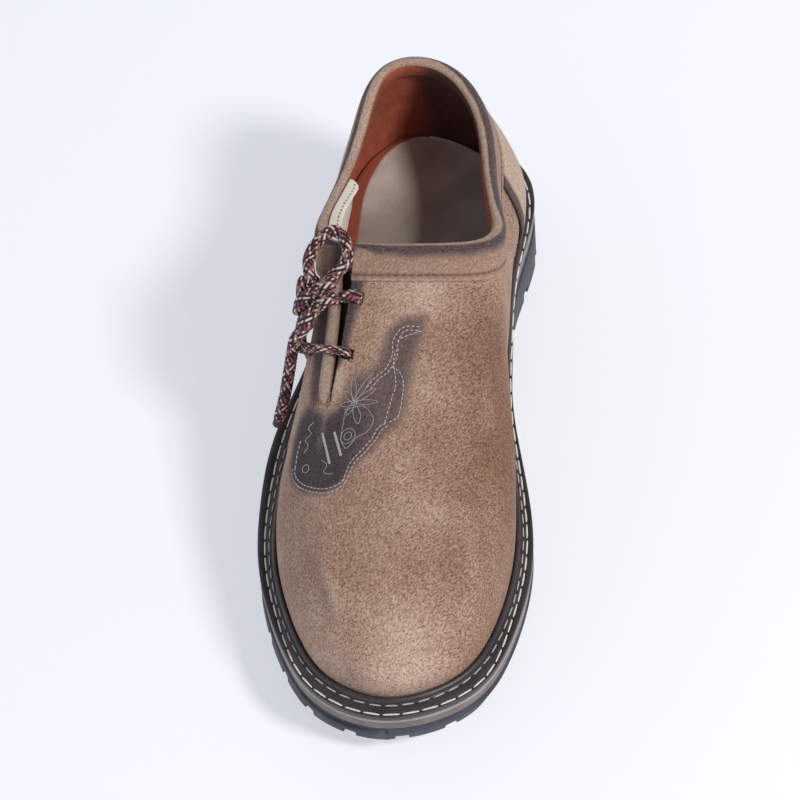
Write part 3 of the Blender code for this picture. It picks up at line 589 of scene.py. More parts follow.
# Stitches: one tree lays a stitch at every pitch along a line, turned to lie on the surface
def stitchTree():
    tree = bpy.data.node_groups.new("stitchRun", "GeometryNodeTree")
    sizes = [(name, "Float") for name in ("Pitch", "Length", "Width", "Height", "Wander")]
    for name, kind in [("Line", "Geometry"), *sizes, ("Seed", "Int"), ("Thread", "Material")]:
        tree.interface.new_socket(name, in_out="INPUT", socket_type="NodeSocket" + kind)
    tree.interface.new_socket("Stitches", in_out="OUTPUT", socket_type="NodeSocketGeometry")
    desk = NodeDesk(tree)
    given = desk.add("NodeGroupInput")
    curve = desk.add("GeometryNodeMeshToCurve", Mesh=given["Line"])["Curve"]
    spaced = desk.add("GeometryNodeResampleCurve", {"mode": "LENGTH"}, Curve=curve, Length=given["Pitch"])
    tangent = desk.add("GeometryNodeInputTangent")["Tangent"]
    along = desk.add("FunctionNodeAlignRotationToVector", {"axis": "X"}, Vector=tangent)["Rotation"]
    vector = {"data_type": "FLOAT_VECTOR"}
    outward = desk.add("GeometryNodeInputNamedAttribute", vector, Name="out")["Attribute"]
    pivot = {"axis": "Z", "pivot_axis": "X"}
    upright = desk.add("FunctionNodeAlignRotationToVector", pivot, Rotation=along, Vector=outward)["Rotation"]
    chance = tree.nodes.new("FunctionNodeRandomValue")
    chance.data_type = "FLOAT"
    limits = [socket for socket in chance.inputs if socket.type == "VALUE"]
    desk.feed(limits[0], desk.math("MULTIPLY", given["Wander"], -1.0))
    desk.feed(limits[1], given["Wander"])
    desk.feed(chance.inputs["Seed"], given["Seed"])
    angle = [socket for socket in chance.outputs if socket.type == "VALUE"][0]
    skew = desk.add("FunctionNodeAxisAngleToRotation", Axis=(0, 0, 1), Angle=angle)["Rotation"]
    own = {"rotation_space": "LOCAL"}
    turned = desk.add("FunctionNodeRotateRotation", own, Rotation=upright, Rotate_By=skew)["Rotation"]
    bead = desk.add("GeometryNodeMeshUVSphere", Segments=8, Rings=6, Radius=0.5)["Mesh"]
    lie = desk.add("FunctionNodeAxisAngleToRotation", Axis=(0, 1, 0), Angle=math.pi / 2)["Rotation"]
    laid = desk.add("GeometryNodeTransform", Geometry=bead, Rotation=lie)["Geometry"]  # poles on the line
    parts = desk.add("ShaderNodeSeparateXYZ", Vector=desk.add("GeometryNodeInputPosition")["Position"])
    share = desk.math("MULTIPLY", desk.math("ABSOLUTE", parts["X"]), 2.0)
    reach = desk.math("MULTIPLY", desk.math("POWER", share, 0.45), 0.5)  # blunt, like drawn-down thread
    reach = desk.math("MULTIPLY", reach, desk.math("SIGN", parts["X"]))
    moved = desk.add("ShaderNodeCombineXYZ", X=reach, Y=parts["Y"], Z=parts["Z"])["Vector"]
    shaped = desk.add("GeometryNodeSetPosition", Geometry=laid, Position=moved)["Geometry"]
    size = desk.add("ShaderNodeCombineXYZ", X=given["Length"], Y=given["Width"], Z=given["Height"])["Vector"]
    lay = {"Points": spaced["Curve"], "Instance": shaped, "Rotation": turned, "Scale": size}
    copies = desk.add("GeometryNodeInstanceOnPoints", **lay)["Instances"]
    real = desk.add("GeometryNodeRealizeInstances", Geometry=copies)["Geometry"]
    soft = desk.add("GeometryNodeSetShadeSmooth", Geometry=real)["Geometry"]
    coloured = desk.add("GeometryNodeSetMaterial", Geometry=soft, Material=given["Thread"])["Geometry"]
    desk.add("NodeGroupOutput", Stitches=coloured)
    return tree


stitchRun = stitchTree()
stitchInputs = [item for item in stitchRun.interface.items_tree if item.in_out == "INPUT"]
stitchSockets = {item.name: item.identifier for item in stitchInputs}


def lineMesh(name, lines):  # lines are (points, outward, closed) in millimetres
    points, edges, outs = [], [], []
    for line, out, closed in lines:
        start = len(points)
        count = len(line)
        points += (np.asarray(line) * mm).tolist()
        outs += np.asarray(out).tolist()
        edges += [(start + k, start + k + 1) for k in range(count - 1)]
        if closed:
            edges.append((start + count - 1, start))
    mesh = bpy.data.meshes.new(name)
    mesh.from_pydata(points, edges, [])
    layer = mesh.attributes.new("out", "FLOAT_VECTOR", "POINT")
    layer.data.foreach_set("vector", np.array(outs, np.float32).ravel())
    return mesh


def sew(name, lines, yarn, slot, pitch, length, width, height, wander, seed):
    item = addPiece(name, lineMesh(name, lines))
    run = item.modifiers.new("stitches", "NODES")
    run.node_group = stitchRun
    sizes = {"Pitch": pitch, "Length": length, "Width": width, "Height": height}
    for key, value in sizes.items():
        run[stitchSockets[key]] = value * mm
    run[stitchSockets["Wander"]] = wander
    run[stitchSockets["Seed"]] = seed
    run[stitchSockets["Thread"]] = yarn
    return dress(settle(item), slot)


# Camera: the photograph's place and tilt, turned to the one shoe and brought nearer by its lens
view = {"spot": (64.2, -726.7, 1064.9), "tilt": 35.0, "lens": 137.0, "aim": (1.0, -3.5, 40.0)}


def addCamera():
    data = bpy.data.cameras.new("camera")
    data.lens = view["lens"]
    data.clip_start = 0.05
    camera = bpy.data.objects.new("camera", data)
    bpy.context.scene.collection.objects.link(camera)
    spot = Vector(view["spot"]) * mm
    tilted = Euler((math.radians(view["tilt"]), 0, 0)).to_quaternion()
    ahead = tilted @ Vector((0, 0, -1))
    swing = ahead.rotation_difference(Vector(view["aim"]) * mm - spot)
    camera.location = spot
    camera.rotation_euler = (swing @ tilted).to_euler()
    bpy.context.scene.camera = camera


studio = {
    "floorColour": (0.44, 0.455, 0.475),
    "floorGlow": (0.5, 0.51, 0.555),  # the floor's own glow: painted light that keeps its shadows pale
    "floorHalf": 4.0,  # metres
    "floorCloud": 166.7,
    "floorShade": 0.985,
    "fillColour": (0.9, 0.95, 1.0),
    "fillStrength": 1.15,
    "fillFade": {"X": (-0.3, 0.6, 0.4), "Z": (0.35, 0.95, 0.1)},  # from, to, share that is left
    "keyFrom": (0.6, -0.3, 0.74),
    "keyDistance": 2.2,  # metres
    "keySize": 0.45,
    "keyPower": 38.0,
    "keyColour": (1.0, 0.97, 0.93),
}


def addFill(world):  # soft light from the walls, weaker from the inner side and from overhead
    world.use_nodes = True
    desk = NodeDesk(world.node_tree)
    way = desk.add("ShaderNodeSeparateXYZ", Vector=desk.add("ShaderNodeTexCoord")["Generated"])
    strength = studio["fillStrength"]
    smooth = {"interpolation_type": "SMOOTHSTEP"}
    for axis, (start, end, left) in studio["fillFade"].items():
        span = {"From_Min": start, "From_Max": end, "To_Min": 1.0, "To_Max": left}
        fade = desk.add("ShaderNodeMapRange", smooth, Value=way[axis], **span)["Result"]
        strength = desk.math("MULTIPLY", fade, strength)
    back = world.node_tree.nodes["Background"]
    desk.feed(back.inputs["Color"], studio["fillColour"])
    desk.feed(back.inputs["Strength"], strength)


def addStudio():
    scene = bpy.context.scene
    scene.view_settings.view_transform = "Standard"
    world = scene.world or bpy.data.worlds.new("world")
    scene.world = world
    addFill(world)
    half = studio["floorHalf"] / mm
    corners = [(-half, -half, 0), (half, -half, 0), (-half, half, 0), (half, half, 0)]
    desk = FinishDesk("paperFloor")
    shaded = tuple(studio["floorShade"] * c for c in studio["floorColour"])
    tint = desk.mix(desk.noise(studio["floorCloud"], 3.0, 0.5), shaded, studio["floorColour"])
    # the floor glows by itself, painted light that lifts its shadows
    paper = desk.finish(tint, 0.85, Emission_Color=studio["floorGlow"], Emission_Strength=1.0)
    addPiece("floor", gridMesh("floor", np.reshape(corners, (2, 2, 3))), paper)
    key = bpy.data.lights.new("key", "AREA")
    key.shape = "DISK"
    key.size = studio["keySize"]
    key.energy = studio["keyPower"]
    key.color = studio["keyColour"]
    lamp = bpy.data.objects.new("key", key)
    scene.collection.objects.link(lamp)
    way = Vector(studio["keyFrom"]).normalized()
    lamp.location = way * studio["keyDistance"]
    lamp.rotation_euler = way.to_track_quat("Z", "Y").to_euler()


addCamera()
addStudio()
print("camera and studio ready")


# Lace: route stops as (place, drop, lift), the same as the solids'
laceLooks = {
    "diameter": 5.1,
    "step": 0.22,
    "ringPoints": 72,
    "strands": 12,  # each way round
    "rise": 1.7,  # millimetres along the cord for one strand's width
    "relief": 0.17,
    "bulge": (0.6, 0.45),  # how round a strand is, and what is left of it where it dips under
    "shade": 0.4,  # of the strands' colour between them
    "rounding": 1.2,  # of bare ends
    "tipLength": 5.0,
    "tipEdge": 0.3,
    "tipColour": (0.12, 0.06, 0.05),
    "tipScale": 0.84,
    "tipWinding": (0.03, 0.7),  # share of the cord's half, and pitch
    "heldStep": 0.3,  # on the stretches through the holes
    "holeLifts": (1.0, -1.2, -3.0),
    "insideLift": -3.5,
    "insideFlat": 0.46,  # squeezed between wall and tongue
    "flatFrom": (-1.4, -2.8),  # lifts between which it turns flat
    "lowerBarScale": 0.7,  # the lower bar is drawn tight
}
cordColours = {
    "burgundy": (0.075, 0.016, 0.026),
    "black": (0.02, 0.012, 0.016),
    "plum": (0.17, 0.07, 0.11),
    "lilac": (0.28, 0.2, 0.25),
    "pale": (0.78, 0.64, 0.6),
    "beige": (0.62, 0.4, 0.26),
    "rust": (0.42, 0.12, 0.1),
}
leftStrands = "black pale burgundy plum black rust burgundy pale black lilac beige burgundy".split()
rightStrands = "burgundy black pale rust plum black burgundy pale black plum rust black".split()
strandTable = np.array([cordColours[name] for name in leftStrands + rightStrands])
laceHoles = {
    "frontUpper": (28.42, 21.0),
    "rearUpper": (26.84, 21.0),
    "frontLower": (28.33, 45.0),
    "rearLower": (26.56, 43.5),
}
knot = {"stop": (27.15, 24.0, 8.2), "half": (8.0, 7.5, 5.4), "tuck": 2.2}
barStops = [(28.33, 45, 3.0), (28.08, 44.8, 3.8), (27.6, 44.4, 5.3), (27.1, 44, 4.4), (26.56, 43.5, 3.0)]
upperBarStops = [(28.42, 21, 3.0), (28.27, 21.3, 3.4), (28.12, 21.8, 4.2)]
underKnot = {"front": (27.9, 22.4, 5.6), "rear": (26.95, 22.5, 3.2)}  # where the bars end
collarLoopStops = [
    (27.62, 15.4, 8.8), (27.98, 10, 8.4), (28.02, 4, 7.8), (27.74, -1.8, 7.4), (27.2, -4.6, 7.2),
    (26.68, -3.8, 7.2), (26.27, 1.5, 7.8), (26.18, 8, 8.4), (26.55, 14.6, 8.8),
]
sideLoopStops = [
    (26.15, 20.8, 7.4), (25.6, 19.2, 6.0), (25.05, 20.4, 4.8), (24.6, 24.2, 3.9), (24.35, 29.6, 3.4),
    (24.3, 35.4, 3.2), (24.55, 39.6, 3.2), (24.95, 39.6, 3.2), (25.3, 34.8, 3.6), (25.65, 29.4, 5.2),
    (26.15, 26.2, 7.6),
]
frontEndStops = [
    (27.0, 35.4, 8.0), (26.65, 40.8, 8.2), (26.15, 46, 6.4), (25.75, 55, 6.0), (25.45, 68, 6.3),
    (25.15, 83, 8.2),
]
sideEndStops = [
    (26.5, 32.2, 6.0), (25.95, 38.5, 4.4), (25.4, 45.5, 3.6), (24.9, 50, 3.3), (24.5, 55, 3.3),
    (24.3, 62, 3.3),
]


def stopPoints(stops):
    return wallPoints(*np.array(stops, float).T, gaping=False)


def knotFrame():  # middle of the knot; round the shoe, down the wall, off the wall
    spot, drop, lift = knot["stop"]
    middle, off = (v[0] for v in wallPoints([spot], [drop], [lift], gaping=False, normals=True))
    down = stopPoints([(spot, drop + 1, lift)])[0] - middle
    down = unit(down - off * (down @ off))
    return middle, np.array([np.cross(down, off), down, off])


knotMiddle, knotAxes = knotFrame()


def knotFace(towards, sink):  # point on the knot's face, or under it, on the way to another point
    way = unit(towards - knotMiddle)
    reach = 1 / np.linalg.norm((knotAxes @ way) / np.array(knot["half"]))
    return knotMiddle + (reach - sink) * way


def carryFrames(path):  # two directions square to the path that turn with it as little as possible
    along = unit(np.gradient(path, axis=0))
    side = np.empty_like(path)
    side[0] = unit(np.cross(along[0], (0.3, 0.9, 0.31)))
    for index in range(1, len(path)):
        side[index] = unit(side[index - 1] - along[index] * (side[index - 1] @ along[index]))
    return along, side, np.cross(along, side)


def braidTube(name, path, outs=None, flat=None, tip=0.0, scale=1.0):
    look = laceLooks
    half = scale * look["diameter"] / 2
    along, side, other = carryFrames(path)
    if outs is not None:  # the cord's flat side lies against the wall
        side = unit(outs - along * np.sum(outs * along, axis=1, keepdims=True))
        other = np.cross(along, side)
    angle = np.linspace(0, 2 * math.pi, look["ringPoints"], endpoint=False)[None, :]
    run = runOf(path)[:, None]
    turns = look["strands"] * angle / (2 * math.pi)
    left = turns + run / look["rise"]
    right = turns - run / look["rise"]
    over = (np.floor(left) + np.floor(right)) % 2 == 0
    strand = np.where(over, np.floor(left), np.floor(right)).astype(int) % look["strands"]
    strand = np.where(over, strand, strand + look["strands"])
    across = np.where(over, left % 1, right % 1)
    length = np.where(over, right % 1, left % 1)
    power, least = look["bulge"]
    bulge = np.sin(math.pi * across) ** power * (least + (1 - least) * np.sin(math.pi * length))
    radius = half * (1 - look["relief"] * (1 - bulge))
    shade = look["shade"] + (1 - look["shade"]) * bulge
    colours = strandTable[strand] * shade[..., None]
    if tip:  # the end is bound with thread
        start = run[-1] - tip
        bound = smoothStep(start - look["tipEdge"], start, run) * np.ones_like(angle)
        height, pitch = look["tipWinding"]
        wound = half * (look["tipScale"] + height * np.cos(2 * math.pi * run / pitch + angle))
        radius = radius + bound * (wound - radius)
        colours = colours + bound[..., None] * (np.array(look["tipColour"]) - colours)
    fade = np.minimum(np.minimum(run, run[-1] - run) / look["rounding"], 1)
    radius = radius * np.sqrt(np.clip(1 - (1 - fade) ** 2, 0.05, 1))
    squash = 1.0 if flat is None else flat[:, None]
    ring = (radius * np.cos(angle) * squash)[..., None] * side[:, None]
    ring = ring + (radius * np.sin(angle))[..., None] * other[:, None]
    mesh = gridMesh(name, path[:, None] + ring, roundColumns=True)
    paintColour(mesh, "strand", colours.reshape(-1, 3))
    closeEnds(mesh)
    return mesh


def cordPath(stops, knotEnd):  # from under the knot's face, and back to it where the cord ends there
    points = list(stopPoints(stops))
    points.insert(0, knotFace(points[0], knot["tuck"]))
    if knotEnd:
        points.append(knotFace(points[-1], knot["tuck"]))
    return smoothPath(points, laceLooks["step"])


def layCord(name, node, stops, farEnd, tip=0.0):
    path = cordPath(stops, farEnd == "knot")
    item = dress(addPiece(name, braidTube(name, path, tip=tip), braid), "lace_cord", node)


knotStrands = [  # short lengths of cord over each other: left, down and off the wall from the knot's middle
    [
        (-10.5, -7.4, 1.2), (-8, -5.8, 2.8), (-5.6, -4.4, 3.3), (-0.6, -2.1, 3), (4.3, 0.9, 2),
        (7.8, 4.3, 0.2), (9.2, 7.2, -1.6),
    ],
    [
        (-11.5, -1, -0.4), (-8.5, 0.6, 1.4), (-6.7, 2, 2.2), (-2.8, 5.7, 2.6), (0.4, 9.8, 1.8),
        (3.5, 13.4, 0.4),
    ],
    [(8.9, -8.5, -0.6), (9.4, -5.4, 0), (8.6, -0.2, -0.8), (4.5, 4.8, -1.6), (0, 6.9, -2.2)],
    [(-6, -3.6, -2.2), (-1.5, -2.6, -1.6), (2.4, 0.6, -1.4), (2.2, 4.6, -1.8)],
]


def tieKnot():
    knotMesh = bpy.data.meshes.new("laceKnot")
    with editing(knotMesh) as joined:
        for strand in knotStrands:
            path = smoothPath(np.array(strand) @ knotAxes + knotMiddle, laceLooks["step"])
            mesh = braidTube("knotLength", path)
            joined.from_mesh(mesh)
            bpy.data.meshes.remove(mesh)
    knotMesh.shade_smooth()
    return dress(addPiece("laceKnot", knotMesh, braid), "lace_cord", "lace_knot")


def threadHoles(name, node, stops, scale=1.0):  # a held stretch of lace; below the wall's face it lies flat
    path = smoothPath(np.column_stack([stopPoints(stops), stops]), laceLooks["heldStep"])
    out = wallPoints(*path[:, 3:].T, gaping=False, normals=True)[1]
    flat = 1 - (1 - laceLooks["insideFlat"]) * smoothStep(*laceLooks["flatFrom"], path[:, 5])
    mesh = braidTube(name, path[:, :3], out, flat, scale=scale)
    return dress(addPiece(name, mesh, braid), "lace_cord", node)


def throughHole(hole, inward=True):
    spot, drop = laceHoles[hole]
    lifts = laceLooks["holeLifts"]
    return [(spot, drop, lift) for lift in (lifts if inward else lifts[::-1])]


def insideRun(start, end):  # behind the wall from one hole to another
    rows = [np.array(laceHoles[hole]) for hole in (start, end)]
    between = [rows[0] + share * (rows[1] - rows[0]) for share in (0.2, 0.4, 0.6, 0.8)]
    return [(*spot, laceLooks["insideLift"]) for spot in between]


laceKnot = tieKnot()
layCord("laceLoopCollar", "lace_loop_collar", collarLoopStops, "knot")
layCord("laceLoopSide", "lace_loop_side", sideLoopStops, "knot")
layCord("laceEndFront", "lace_end_front", frontEndStops, "bare", laceLooks["tipLength"])
layCord("laceEndSide", "lace_end_side", sideEndStops, "bare", laceLooks["tipLength"])
frontRun = [underKnot["front"]] + upperBarStops[::-1] + throughHole("frontUpper")
frontRun += insideRun("frontUpper", "frontLower") + throughHole("frontLower")[-1:]
threadHoles("laceBarUpper", "lace_bar_upper", frontRun)
rearRun = throughHole("frontLower", False) + barStops + throughHole("rearLower")
rearRun += insideRun("rearLower", "rearUpper") + throughHole("rearUpper", False) + [underKnot["rear"]]
threadHoles("laceBarLower", "lace_bar_lower", rearRun, laceLooks["lowerBarScale"])
print("lace ready")


# Ornament beside the slit, charted in millimetres: right of the slit's line and below its end
ornament = {
    "stain": [
        (28, -37), (22, -36), (18.5, -31), (18, -23), (17.5, -16), (14, -12), (9, -11), (7, -4), (4, 4),
        (-1, 6), (-6, 4), (-11, 2), (-14, 7), (-16, 15), (-16, 25), (-13, 31.5), (-6, 35.5), (5, 36.5),
        (12, 34.5), (16, 29), (19, 24), (23, 19), (26, 13), (29, 9), (29.5, 1), (28.5, -9), (27.5, -19),
        (28.5, -29),
    ],
    # burnish and painted shade beside the slit's gap
    "slitBurnAndShade": [(0, -52), (4.8, -52), (4.8, -43), (4, -34), (3, -24), (1.5, -16), (0, -14)],
    # burnish and painted shade of the knot on the quarter beside the binding
    "quarterBurnAndShade": [(-7, -53), (-16, -53), (-15, -30), (-12, -12), (-10, 3), (-7, 4), (-5, -10), (-7, -36)],
    "neckLeft": [(27, -33), (23, -33), (21, -31), (20, -26), (21, -21), (20, -15), (17, -11), (15, -7)],
    "neckMiddle": [
        (28, -31), (24, -29), (22, -27), (22, -23), (22, -18), (25, -8), (25, -3), (25, 3), (25, 8),
    ],
    "neckRight": [(22.4, -15.5), (24.4, -14), (26, -12), (27, -10), (28, -6), (29, 2), (29, 6), (27, 8)],
    "bodyRight": [(25, 9), (23, 11), (22, 15), (20, 19), (18, 22), (16, 25), (15, 28), (14.4, 31), (14, 33)],
    "bottom": [(14, 33), (11, 35), (5, 36), (-2, 35), (-8, 33), (-12, 30), (-13, 27)],
    "left": [(-13, 26), (-13, 21), (-12.4, 16)],
    "flower": (11, 0),
    "flowerRadius": 1.3,
    "petals": [(8.2, -11.6), (15.6, -12.4), (5.2, 1.3), (20.4, -0.4), (5.9, -5), (18.4, -6.2), (9, 5.4)],
    "petalWidth": 1.05,
    "leaf": [
        (8, 3), (8.1, 7.7), (8.6, 15.3), (11.2, 19.1), (12.9, 19.1), (15.8, 14.8), (19.1, 12.8), (20.5, 8.7),
        (19.6, 5.6), (14.8, 1.5), (8, 3),
    ],
    "leafInner": [(11, 2.5), (12.4, 6.6), (14.8, 9.2), (15, 5.6), (12.9, 2)],
    "circle": (11.5, 14.3),
    "circleRadii": (3.2, 1.7),
    "bars": [[(-1, 13), (5, 25)], [(5, 13), (10, 22)]],
    "ring": (-7, 27),
    "ringRadius": 1.7,
    "squiggle": [(1, 24), (4, 26), (3, 29), (6, 30), (8, 30)],
    "curls": [(-7, 8), (-9, 10), (-7, 12.5), (-9.5, 15), (-7.5, 17.5), (-9, 20)],
    "doubleGap": 1.7,
}
slitPlace = last["slitSection"] + turn
chartDrops = np.arange(0.0, 160.0, 4.0)
chartSides = [bareWall(slitPlace + step + 0 * chartDrops, chartDrops, False) for step in (-0.5, 0.5)]
chartUnits = np.linalg.norm(np.subtract(*chartSides), axis=1)  # millimetres round the shoe for one section


def chartPlaces(spots):  # chart millimetres to place and drop
    spots = np.asarray(spots, float)
    drop = last["slitLength"] + spots[..., 1]
    return slitPlace + spots[..., 0] / np.interp(drop, chartDrops, chartUnits), drop


def chartSpots(grid, drops):  # place and drop of the gaping wall to chart millimetres
    closed = grid + slitShift(grid, drops)
    closed = np.where(closed < slitPlace - turn / 2, closed + turn, closed)
    across = (closed - slitPlace) * np.interp(drops, chartDrops, chartUnits)
    return np.stack([across, drops - last["slitLength"]], axis=-1)


def outlineDepth(spots, outline):  # millimetres inside a closed outline, negative outside it
    across, below = np.moveaxis(spots, -1, 0)
    line = np.array(outline + outline[:1], float)
    inside = np.zeros(across.shape, bool)
    for start, end in zip(line[:-1], line[1:]):
        if start[1] != end[1]:
            crossing = start[0] + (below - start[1]) * (end[0] - start[0]) / (end[1] - start[1])
            inside ^= ((start[1] > below) != (end[1] > below)) & (across < crossing)
    away = lineDistance(spots, line)
    return np.where(inside, away, -away)


# Upper: one sheet from slit to slit, with listed creases, punched holes and a real wall
upperLooks = {
    "columns": 361,
    "rows": 121,
    "meetWithin": 0.1,  # the sheet's edges join where they are this near
    "holeRadius": 2.5,
    "holeCut": 0.95,  # share of the radius that is cut away before the rim is rounded
    "stitchLift": 0.1,
    "swell": ((34.0, 0.5, 3), (13.0, 0.17, 4)),  # size, height and seed of the leather's waves
    "quietTop": (13.5, 18.0),  # creases and swell begin below the band and end above the welt
    "quietFoot": (6.5, 13.0),
    "quietPanel": (16.95, 17.3, 22.8, 23.2),
    "panelHold": 0.8,  # how much the heel panel smooths the leather under it
    "quietHem": (0.85, 0.6),  # sections before the slit, under the binding
    "hemBelow": 4.0,  # the hem reaches past the slit's end
    "lipFrom": 1.0,
    "lipReach": 5.0,
    "lipRise": 0.8,  # the slit's front edge rolls up
    "lipEnd": (4.0, -8.0),
    "creamFrom": 15.6,  # the forefoot's lining ends at this place
    # places where the painted shade on the inner side's lining begins and is full
    "wornLining": (20.3, 19.75),
    "stain": (1.0, -4.6, 2.2),  # strength, and depth inside the outline where its edge begins and ends
    # burnish and painted shade beside the slit's gap
    "slitBurnAndShade": (0.8, -2.5, 1.5),
    # burnish and painted shade of the knot on the quarter beside the binding
    "quarterBurnAndShade": (0.68, -3.0, 2.5),
    "stainLeft": 0.62,  # share of the stain that is left away from the slit's end
    "stainBelow": (-6.0, 10.0),
    "stainAcross": (25.0, 8.0),
    "rubbed": 0.4,  # a rubbed streak below the slit's end
    "rubbedAt": -1.5,
    "rubbedWidth": 1.7,
    "rubbedEnds": (1.0, 5.0, 15.0, 23.0),
    "paleLip": 0.4,  # the slit's front edge is rubbed pale
    "paleLipWidth": (6.0, 3.0),
    "paleLipEnds": (-20.0, -14.0, -1.0, 3.0),
    "paleRidge": (0.5, 0.25),  # strength, and the relief that it starts from
}
creases = [  # name, half width, depth (a ridge is negative), stops of place and drop
    ("dent of the vamp", 6.5, 1.5, [(30.75, 112), (30.85, 124), (30.8, 138)]),
    ("ridge by the dent", 5.0, -0.9, [(31.25, 108), (31.3, 122), (31.45, 138)]),
    ("low dent", 7.0, 0.8, [(31.6, 142), (31.2, 152)]),
    ("outer fold", 4.0, 1.2, [(28.06, 130), (28.35, 142), (28.69, 155)]),
    ("outer ridge", 4.0, -0.8, [(28.45, 128), (28.75, 140), (29.1, 152)]),
    ("second outer fold", 4.5, 0.7, [(27.5, 118), (27.7, 132), (28.1, 146)]),
    ("roll below the ornament", 8.0, 0.8, [(28.2, 110), (29.2, 108), (30.2, 104), (31.0, 104)]),
    ("inner quarter fold", 6.0, 0.9, [(33.6, 34), (33.3, 52), (33.0, 70)]),
    ("inner quarter ridge", 6.0, -0.7, [(32.9, 36), (32.7, 54), (32.4, 72)]),
    ("outer quarter fold", 6.0, 0.9, [(25.2, 40), (25.8, 62), (26.3, 86)]),
    ("outer quarter ridge", 6.0, -0.6, [(24.6, 40), (25.1, 62), (25.6, 84)]),
]
lightAndToneSpots = [  # name, place, drop, size, how much paler (deeper where negative); the deep spots, mostly on the inner side, are painted shade and the pale spots painted highlights
    ("toe", 30.2, 163, 13, 0.3),
    ("toe rim", 30.0, 176, 18, 0.5),
    ("low vamp", 30.0, 148, 20, 0.12),
    ("outer toe", 28.7, 170, 16, 0.22),
    ("inner toe", 32.0, 146, 17, -0.55),
    ("inner toe rim", 31.2, 172, 13, -0.4),
    ("under the collar", 30.9, 20, 16, 0.6),
    ("ridge of the vamp", 30.9, 114, 9, 0.3),
    ("upper vamp", 30.7, 62, 16, 0.15),
    ("beside the ornament", 31.8, 92, 18, -0.4),
    ("inner flank", 33.2, 62, 30, -0.7),
    ("inner edge", 33.2, 88, 18, -0.6),
    ("inner top", 32.9, 36, 18, -0.6),
    ("inner ball", 32.7, 118, 22, -0.5),
    ("middle", 31.2, 128, 22, -0.25),
]


def creaseRelief(points):
    relief = np.zeros(points.shape[:-1])
    for _, width, depth, stops in creases:
        places, drops = smoothPath(stops, 3.0).T
        line = wallPoints(places, drops, gaping=False)
        relief -= depth * np.exp(-((lineDistance(points, line) / width) ** 2))
    return relief


def lightAndToneOf(points):
    tone = np.zeros(points.shape[:-1])
    for _, place, drop, size, strength in lightAndToneSpots:
        middle = wallPoints(place, drop, gaping=False)
        tone += strength * np.exp(-((np.linalg.norm(points - middle, axis=-1) / size) ** 2))
    return tone


def punchHoles(mesh):
    radius = upperLooks["holeRadius"] * mm
    with editing(mesh) as work:
        for spot, drop in laceHoles.values():
            centre, out = (Vector(v[0]) for v in wallPoints([spot], [drop], gaping=False, normals=True))
            centre = centre * mm
            inner = [v for v in work.verts if (v.co - centre).length < upperLooks["holeCut"] * radius]
            rim = {n for v in inner for e in v.link_edges for n in e.verts} - set(inner)
            bmesh.ops.delete(work, geom=inner, context="VERTS")
            for vert in rim:
                away = vert.co - centre
                lift = away.dot(out) * out
                vert.co = centre + lift + (away - lift).normalized() * radius


def upperRelief(points, grid, drops, fromFoot, spots):
    look = upperLooks
    relief = creaseRelief(points) + sum(ripple(points, *wave) for wave in look["swell"])
    free = smoothStep(*look["quietTop"], drops) * smoothStep(*look["quietFoot"], fromFoot)
    hem = smoothStep(*(slitPlace - way for way in look["quietHem"]), grid)
    hem = hem * (drops < last["slitLength"] + look["hemBelow"])
    relief *= free * (1 - look["panelHold"] * plateau(look["quietPanel"], grid)) * (1 - hem)
    fromSlit = np.maximum(spots[..., 0] - look["lipFrom"], 0)
    lip = np.exp(-((fromSlit / look["lipReach"]) ** 2)) * (grid < slitPlace - turn / 2)
    return relief + look["lipRise"] * lip * free * smoothStep(*look["lipEnd"], spots[..., 1])


def upperBurnish(spots):
    look = upperLooks
    across, below = np.moveaxis(spots, -1, 0)
    burns = {}
    # the stain, and burnish with painted shade at the slit and on the quarter
    for name in ("stain", "slitBurnAndShade", "quarterBurnAndShade"):
        strength, start, end = look[name]
        burns[name] = strength * smoothStep(start, end, outlineDepth(spots, ornament[name]))
    left = look["stainLeft"]
    full = smoothStep(*look["stainBelow"], below) * smoothStep(*look["stainAcross"], across)
    burns["stain"] *= left + (1 - left) * full
    rubbed = np.exp(-(((across - look["rubbedAt"]) / look["rubbedWidth"]) ** 2))
    burns["stain"] *= 1 - look["rubbed"] * rubbed * plateau(look["rubbedEnds"], below)
    return np.maximum.reduce(list(burns.values()))


